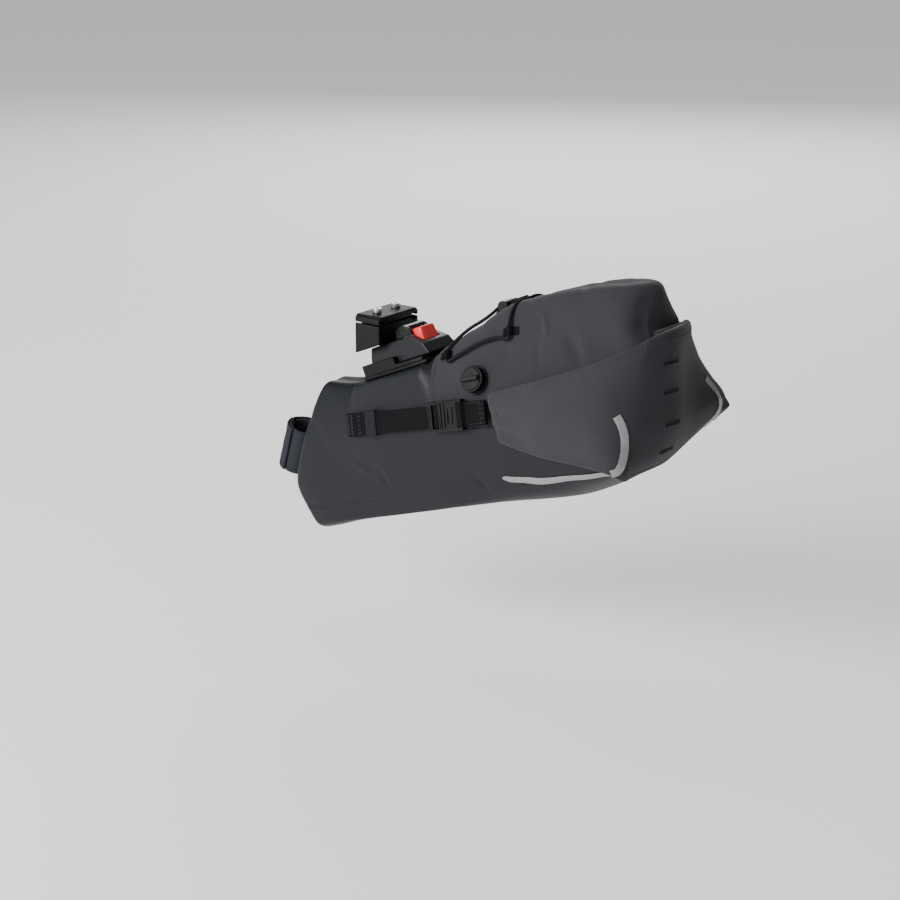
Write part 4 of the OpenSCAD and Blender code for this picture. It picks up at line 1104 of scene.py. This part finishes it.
def button_points():
    points = []
    for lat in np.linspace(-math.pi / 2, math.pi / 2, BUTTON_ROWS):
        ring, z = abs(math.cos(lat)) ** 0.26, squarish(math.sin(lat), 0.26)
        for lon in 2 * math.pi * np.arange(BUTTON_COLS) / BUTTON_COLS:
            x, y = squarish(math.cos(lon), 0.28) * ring, squarish(math.sin(lon), 0.28) * ring
            dish = 4 * max(0, z - 0.9) * max(0, 1 - x * x) * max(0, 1 - y * y)
            taper = 1 - 0.06 * z
            points.append([c + h * k for c, h, k in zip(BUTTON_AT, BUTTON_HALF, (x * taper, y * taper, z))])
            points[-1][2] -= dish
    return from_adapter(points)


new_object("button_block", button_points(), grid_faces(BUTTON_ROWS, BUTTON_COLS, True), MAT["red"],
           "release_button", replaces=("release_button",))


# Springs of the button and the cord lock, and the latch's leaf under the button
def coil(name, centre, along, across, radius, wire, length, turns, node, ends=0.8):
    a = np.linspace(0, 2 * math.pi * turns, int(40 * turns))
    flat = 2 * math.pi * ends
    rise = np.interp(a, [0, flat, a[-1] - flat, a[-1]], [wire, 2.6 * wire, length - 2.6 * wire, length - wire])
    ring = np.outer(np.cos(a), across) + np.outer(np.sin(a), np.cross(along, across))
    line = centre + radius * ring + np.outer(rise, along)
    o = tube(name, line, wire, MAT["steel"], sides=10, replaces=(node,))
    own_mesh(o)


S_DIR, N_DIR = ((from_adapter([way]) - from_adapter([[0, 0, 0]]))[0] for way in ([1000, 0, 0], [0, 0, 1000]))
coil("button_coil", from_adapter([[70.8, 0, 13.65]])[0], N_DIR, S_DIR, 0.0024, 0.00045, 0.0081, 5.5,
     "button_spring")
coil("lock_coil", from_bag([[281, -6.0, 102.2]])[0], np.array([0, 1.0, 0]), np.array([1.0, 0, 0]), 0.0026,
     0.00035, 0.0040, 2.0, "cord_lock_spring", 0.3)
leaf = refined("latch_leaf", MAT["black_matt"], None, voxel=0.4, rounds=3)
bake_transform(leaf)

# ---- post strap
for node, material, body, slot in (
    ("strap_anchor", "band", "bag", "coated_fabric"), ("post_band", "band", "bag", "coated_fabric"),
    ("far_band", "band", "far_strap", "coated_fabric"), ("band_tip", "band", "strap_tip", "coated_fabric"),
    ("post_pad", "foam", "bag", "pads"), ("far_pad", "foam", "far_strap", "pads"),
    ("hook_patch", "hook", "strap_tip", "webbing"),
):
    piece = refined(node, MAT[material], body, voxel=0.45, rounds=2, keep=0.6, ripple=0.3)


def on_post(r, degrees, z):
    """Points and outward normals at radius r round the seatpost."""
    a = np.radians(degrees)
    return (from_post(np.stack([r * np.cos(a), r * np.sin(a), z], 1)),
            from_post(np.stack([np.cos(a), np.sin(a), 0 * z], 1)) * 1000)


for name, body, r, a0, a1 in (("post_band_stitching", "bag", 16.95, -170, -12),
                              ("far_band_stitching", "far_strap", 18.75, 34, 178),
                              ("tip_stitching", "strap_tip", 19.05, 187, 258)):
    st = Stitches()
    for z in (-20.3, 20.3):
        st.row(*on_post(r, np.linspace(a0, a1, 40), np.full(40, z)))
    for a in (a0, a1):
        st.row(*on_post(r, np.full(16, a), np.linspace(-19.5, 19.5, 16)))
    st.piece(name, MAT["thread"], body)

# ---- cord anchors
# Each a folded loop of narrow webbing sewn down at both ends: u, w, v and the cloth's slope
ANCHORS = [[229, 29.5, 69.6, 56], [304, 31.3, 82.6, 64]]
LOOP_HALF = [(-8.5, 0.7), (-5.5, 0.9), (-3.4, 2.2), (-2.6, 4.2), (-1.2, 5.6)]
LOOP = catmull([[x, 0, h] for x, h in LOOP_HALF] + [[-x, 0, h] for x, h in LOOP_HALF[::-1]], 60)
for k, (u, w, v, slope) in enumerate(ANCHORS):
    for side, word in ((-1, "left"), (1, "right")):
        c, s = math.cos(math.radians(slope)), math.sin(math.radians(slope))
        flip = np.array([1, side, 1])
        out_way, across = np.array([0.0, s, c]), np.array([0.0, c, -s])
        points = np.array([u, w, v]) + LOOP[:, :1] * [1.0, 0, 0] + LOOP[:, 2:] * out_way
        ribbon("cord_loop_%d_%s" % (k + 1, word), from_bag(points * flip), from_bag(out_way * flip)[0] * 1000,
               0.0036, 0.0009, MAT["webbing"], across=from_bag(across * flip)[0] * 1000,
               replaces=("cord_anchors",) if k == 0 and side < 0 else ())

# ---- elastic cord
CORD_HALF = [
    [303, 0.4, 107.1], [301.6, 3, 106.9], [297.5, 4.6, 106.2], [293.5, 3.4, 104.8], [290, 2.4, 102.8],
    [286.6, 2.2, 102.2], [276, 2.2, 102.2], [272, 3, 101.2], [266, 5.4, 97.6], [258, 9.4, 93.6],
    [247, 15.6, 89.0], [238, 22.1, 83.2], [231.5, 26.6, 77.9], [229, 29.6, 74.6], [229, 32.6, 70.6],
    [229.8, 35, 67.2], [233, 36.3, 65.8], [240, 36.3, 68.3], [253, 36.4, 72.6], [267, 36.2, 76.9],
    [281, 36.0, 79.6], [292, 35.6, 79.8], [299.4, 36.7, 77.8], [303.3, 37, 78.4], [304, 36.2, 80.8],
    [304, 34.4, 84.4],
    [304, 32.4, 89.2], [304.4, 27.2, 97.2], [305.2, 19.4, 103.7], [306, 10, 106.0], [306, 0, 105.8],
]
CORD_R = 0.0015
half = np.array(CORD_HALF, float)
route = catmull(np.vstack([half * [1, -1, 1], half[-2::-1]]), 620)
tube("elastic_cord", from_bag(route), CORD_R, MAT["braid"], replaces=("bungee_cord",))
a = np.linspace(0, 2 * math.pi, 97)[:-1]
knot = np.stack([290.5 + 1.1 * (np.sin(a) + 2 * np.sin(2 * a)),
                 3.4 * 1.25 / 3 * (np.cos(a) - 2 * np.cos(2 * a)), 103.6 - 2.0 * np.sin(3 * a)], 1)
tube("cord_knot", from_bag(knot), CORD_R, MAT["braid"], closed_loop=True, sides=12)

# ---- floor, lights
FLOOR_HALF, FLOOR_Z = 14.0, CAD_BOX[0][2] - 0.10
floor_mesh = bpy.data.meshes.new("floor")
corners = [(x * FLOOR_HALF, y * FLOOR_HALF, FLOOR_Z) for x, y in ((-1, -1), (1, -1), (1, 1), (-1, 1))]
floor_mesh.from_pydata(corners, [], [(0, 1, 2, 3)])
pale = Graph("pale_floor")
pale.surface(Base_Color=(0.86, 0.86, 0.87, 1), Roughness=0.9, Emission_Color=(1.0, 1.0, 1.0, 1),
             Emission_Strength=0.34)
floor_mesh.materials.append(pale.material)
link("floor", floor_mesh)


def area_light(name, place, aim, size, power):
    data = bpy.data.lights.new(name, "AREA")
    data.shape = "RECTANGLE"
    data.size, data.size_y = size
    data.energy = power
    o = link(name, data)
    o.location = place
    o.rotation_euler = (Vector(place) - Vector(aim)).to_track_quat("Z", "Y").to_euler()


area_light("key", (-0.75, -2.55, 1.35), (0.2, 0, 0.02), (1.8, 1.4), 150)
area_light("top", (-0.4, 0.4, 2.4), (0.22, 0, 0.05), (1.6, 1.6), 8)
area_light("rim", (1.6, -2.2, 0.4), (0.3, 0, 0.0), (0.9, 0.5), 3)
area_light("far_side", (-1.3, 2.5, 1.3), (0.2, 0, 0.05), (1.6, 1.2), 45)
area_light("rear_side", (2.6, 1.9, 0.9), (0.2, 0, 0.05), (1.2, 1.2), 3)
world = bpy.data.worlds.new("studio")
world.use_nodes = True
sky = world.node_tree.nodes["Background"]
sky.inputs["Color"].default_value = (0.95, 0.96, 1.0, 1)
sky.inputs["Strength"].default_value = 0.24
bpy.context.scene.world = world
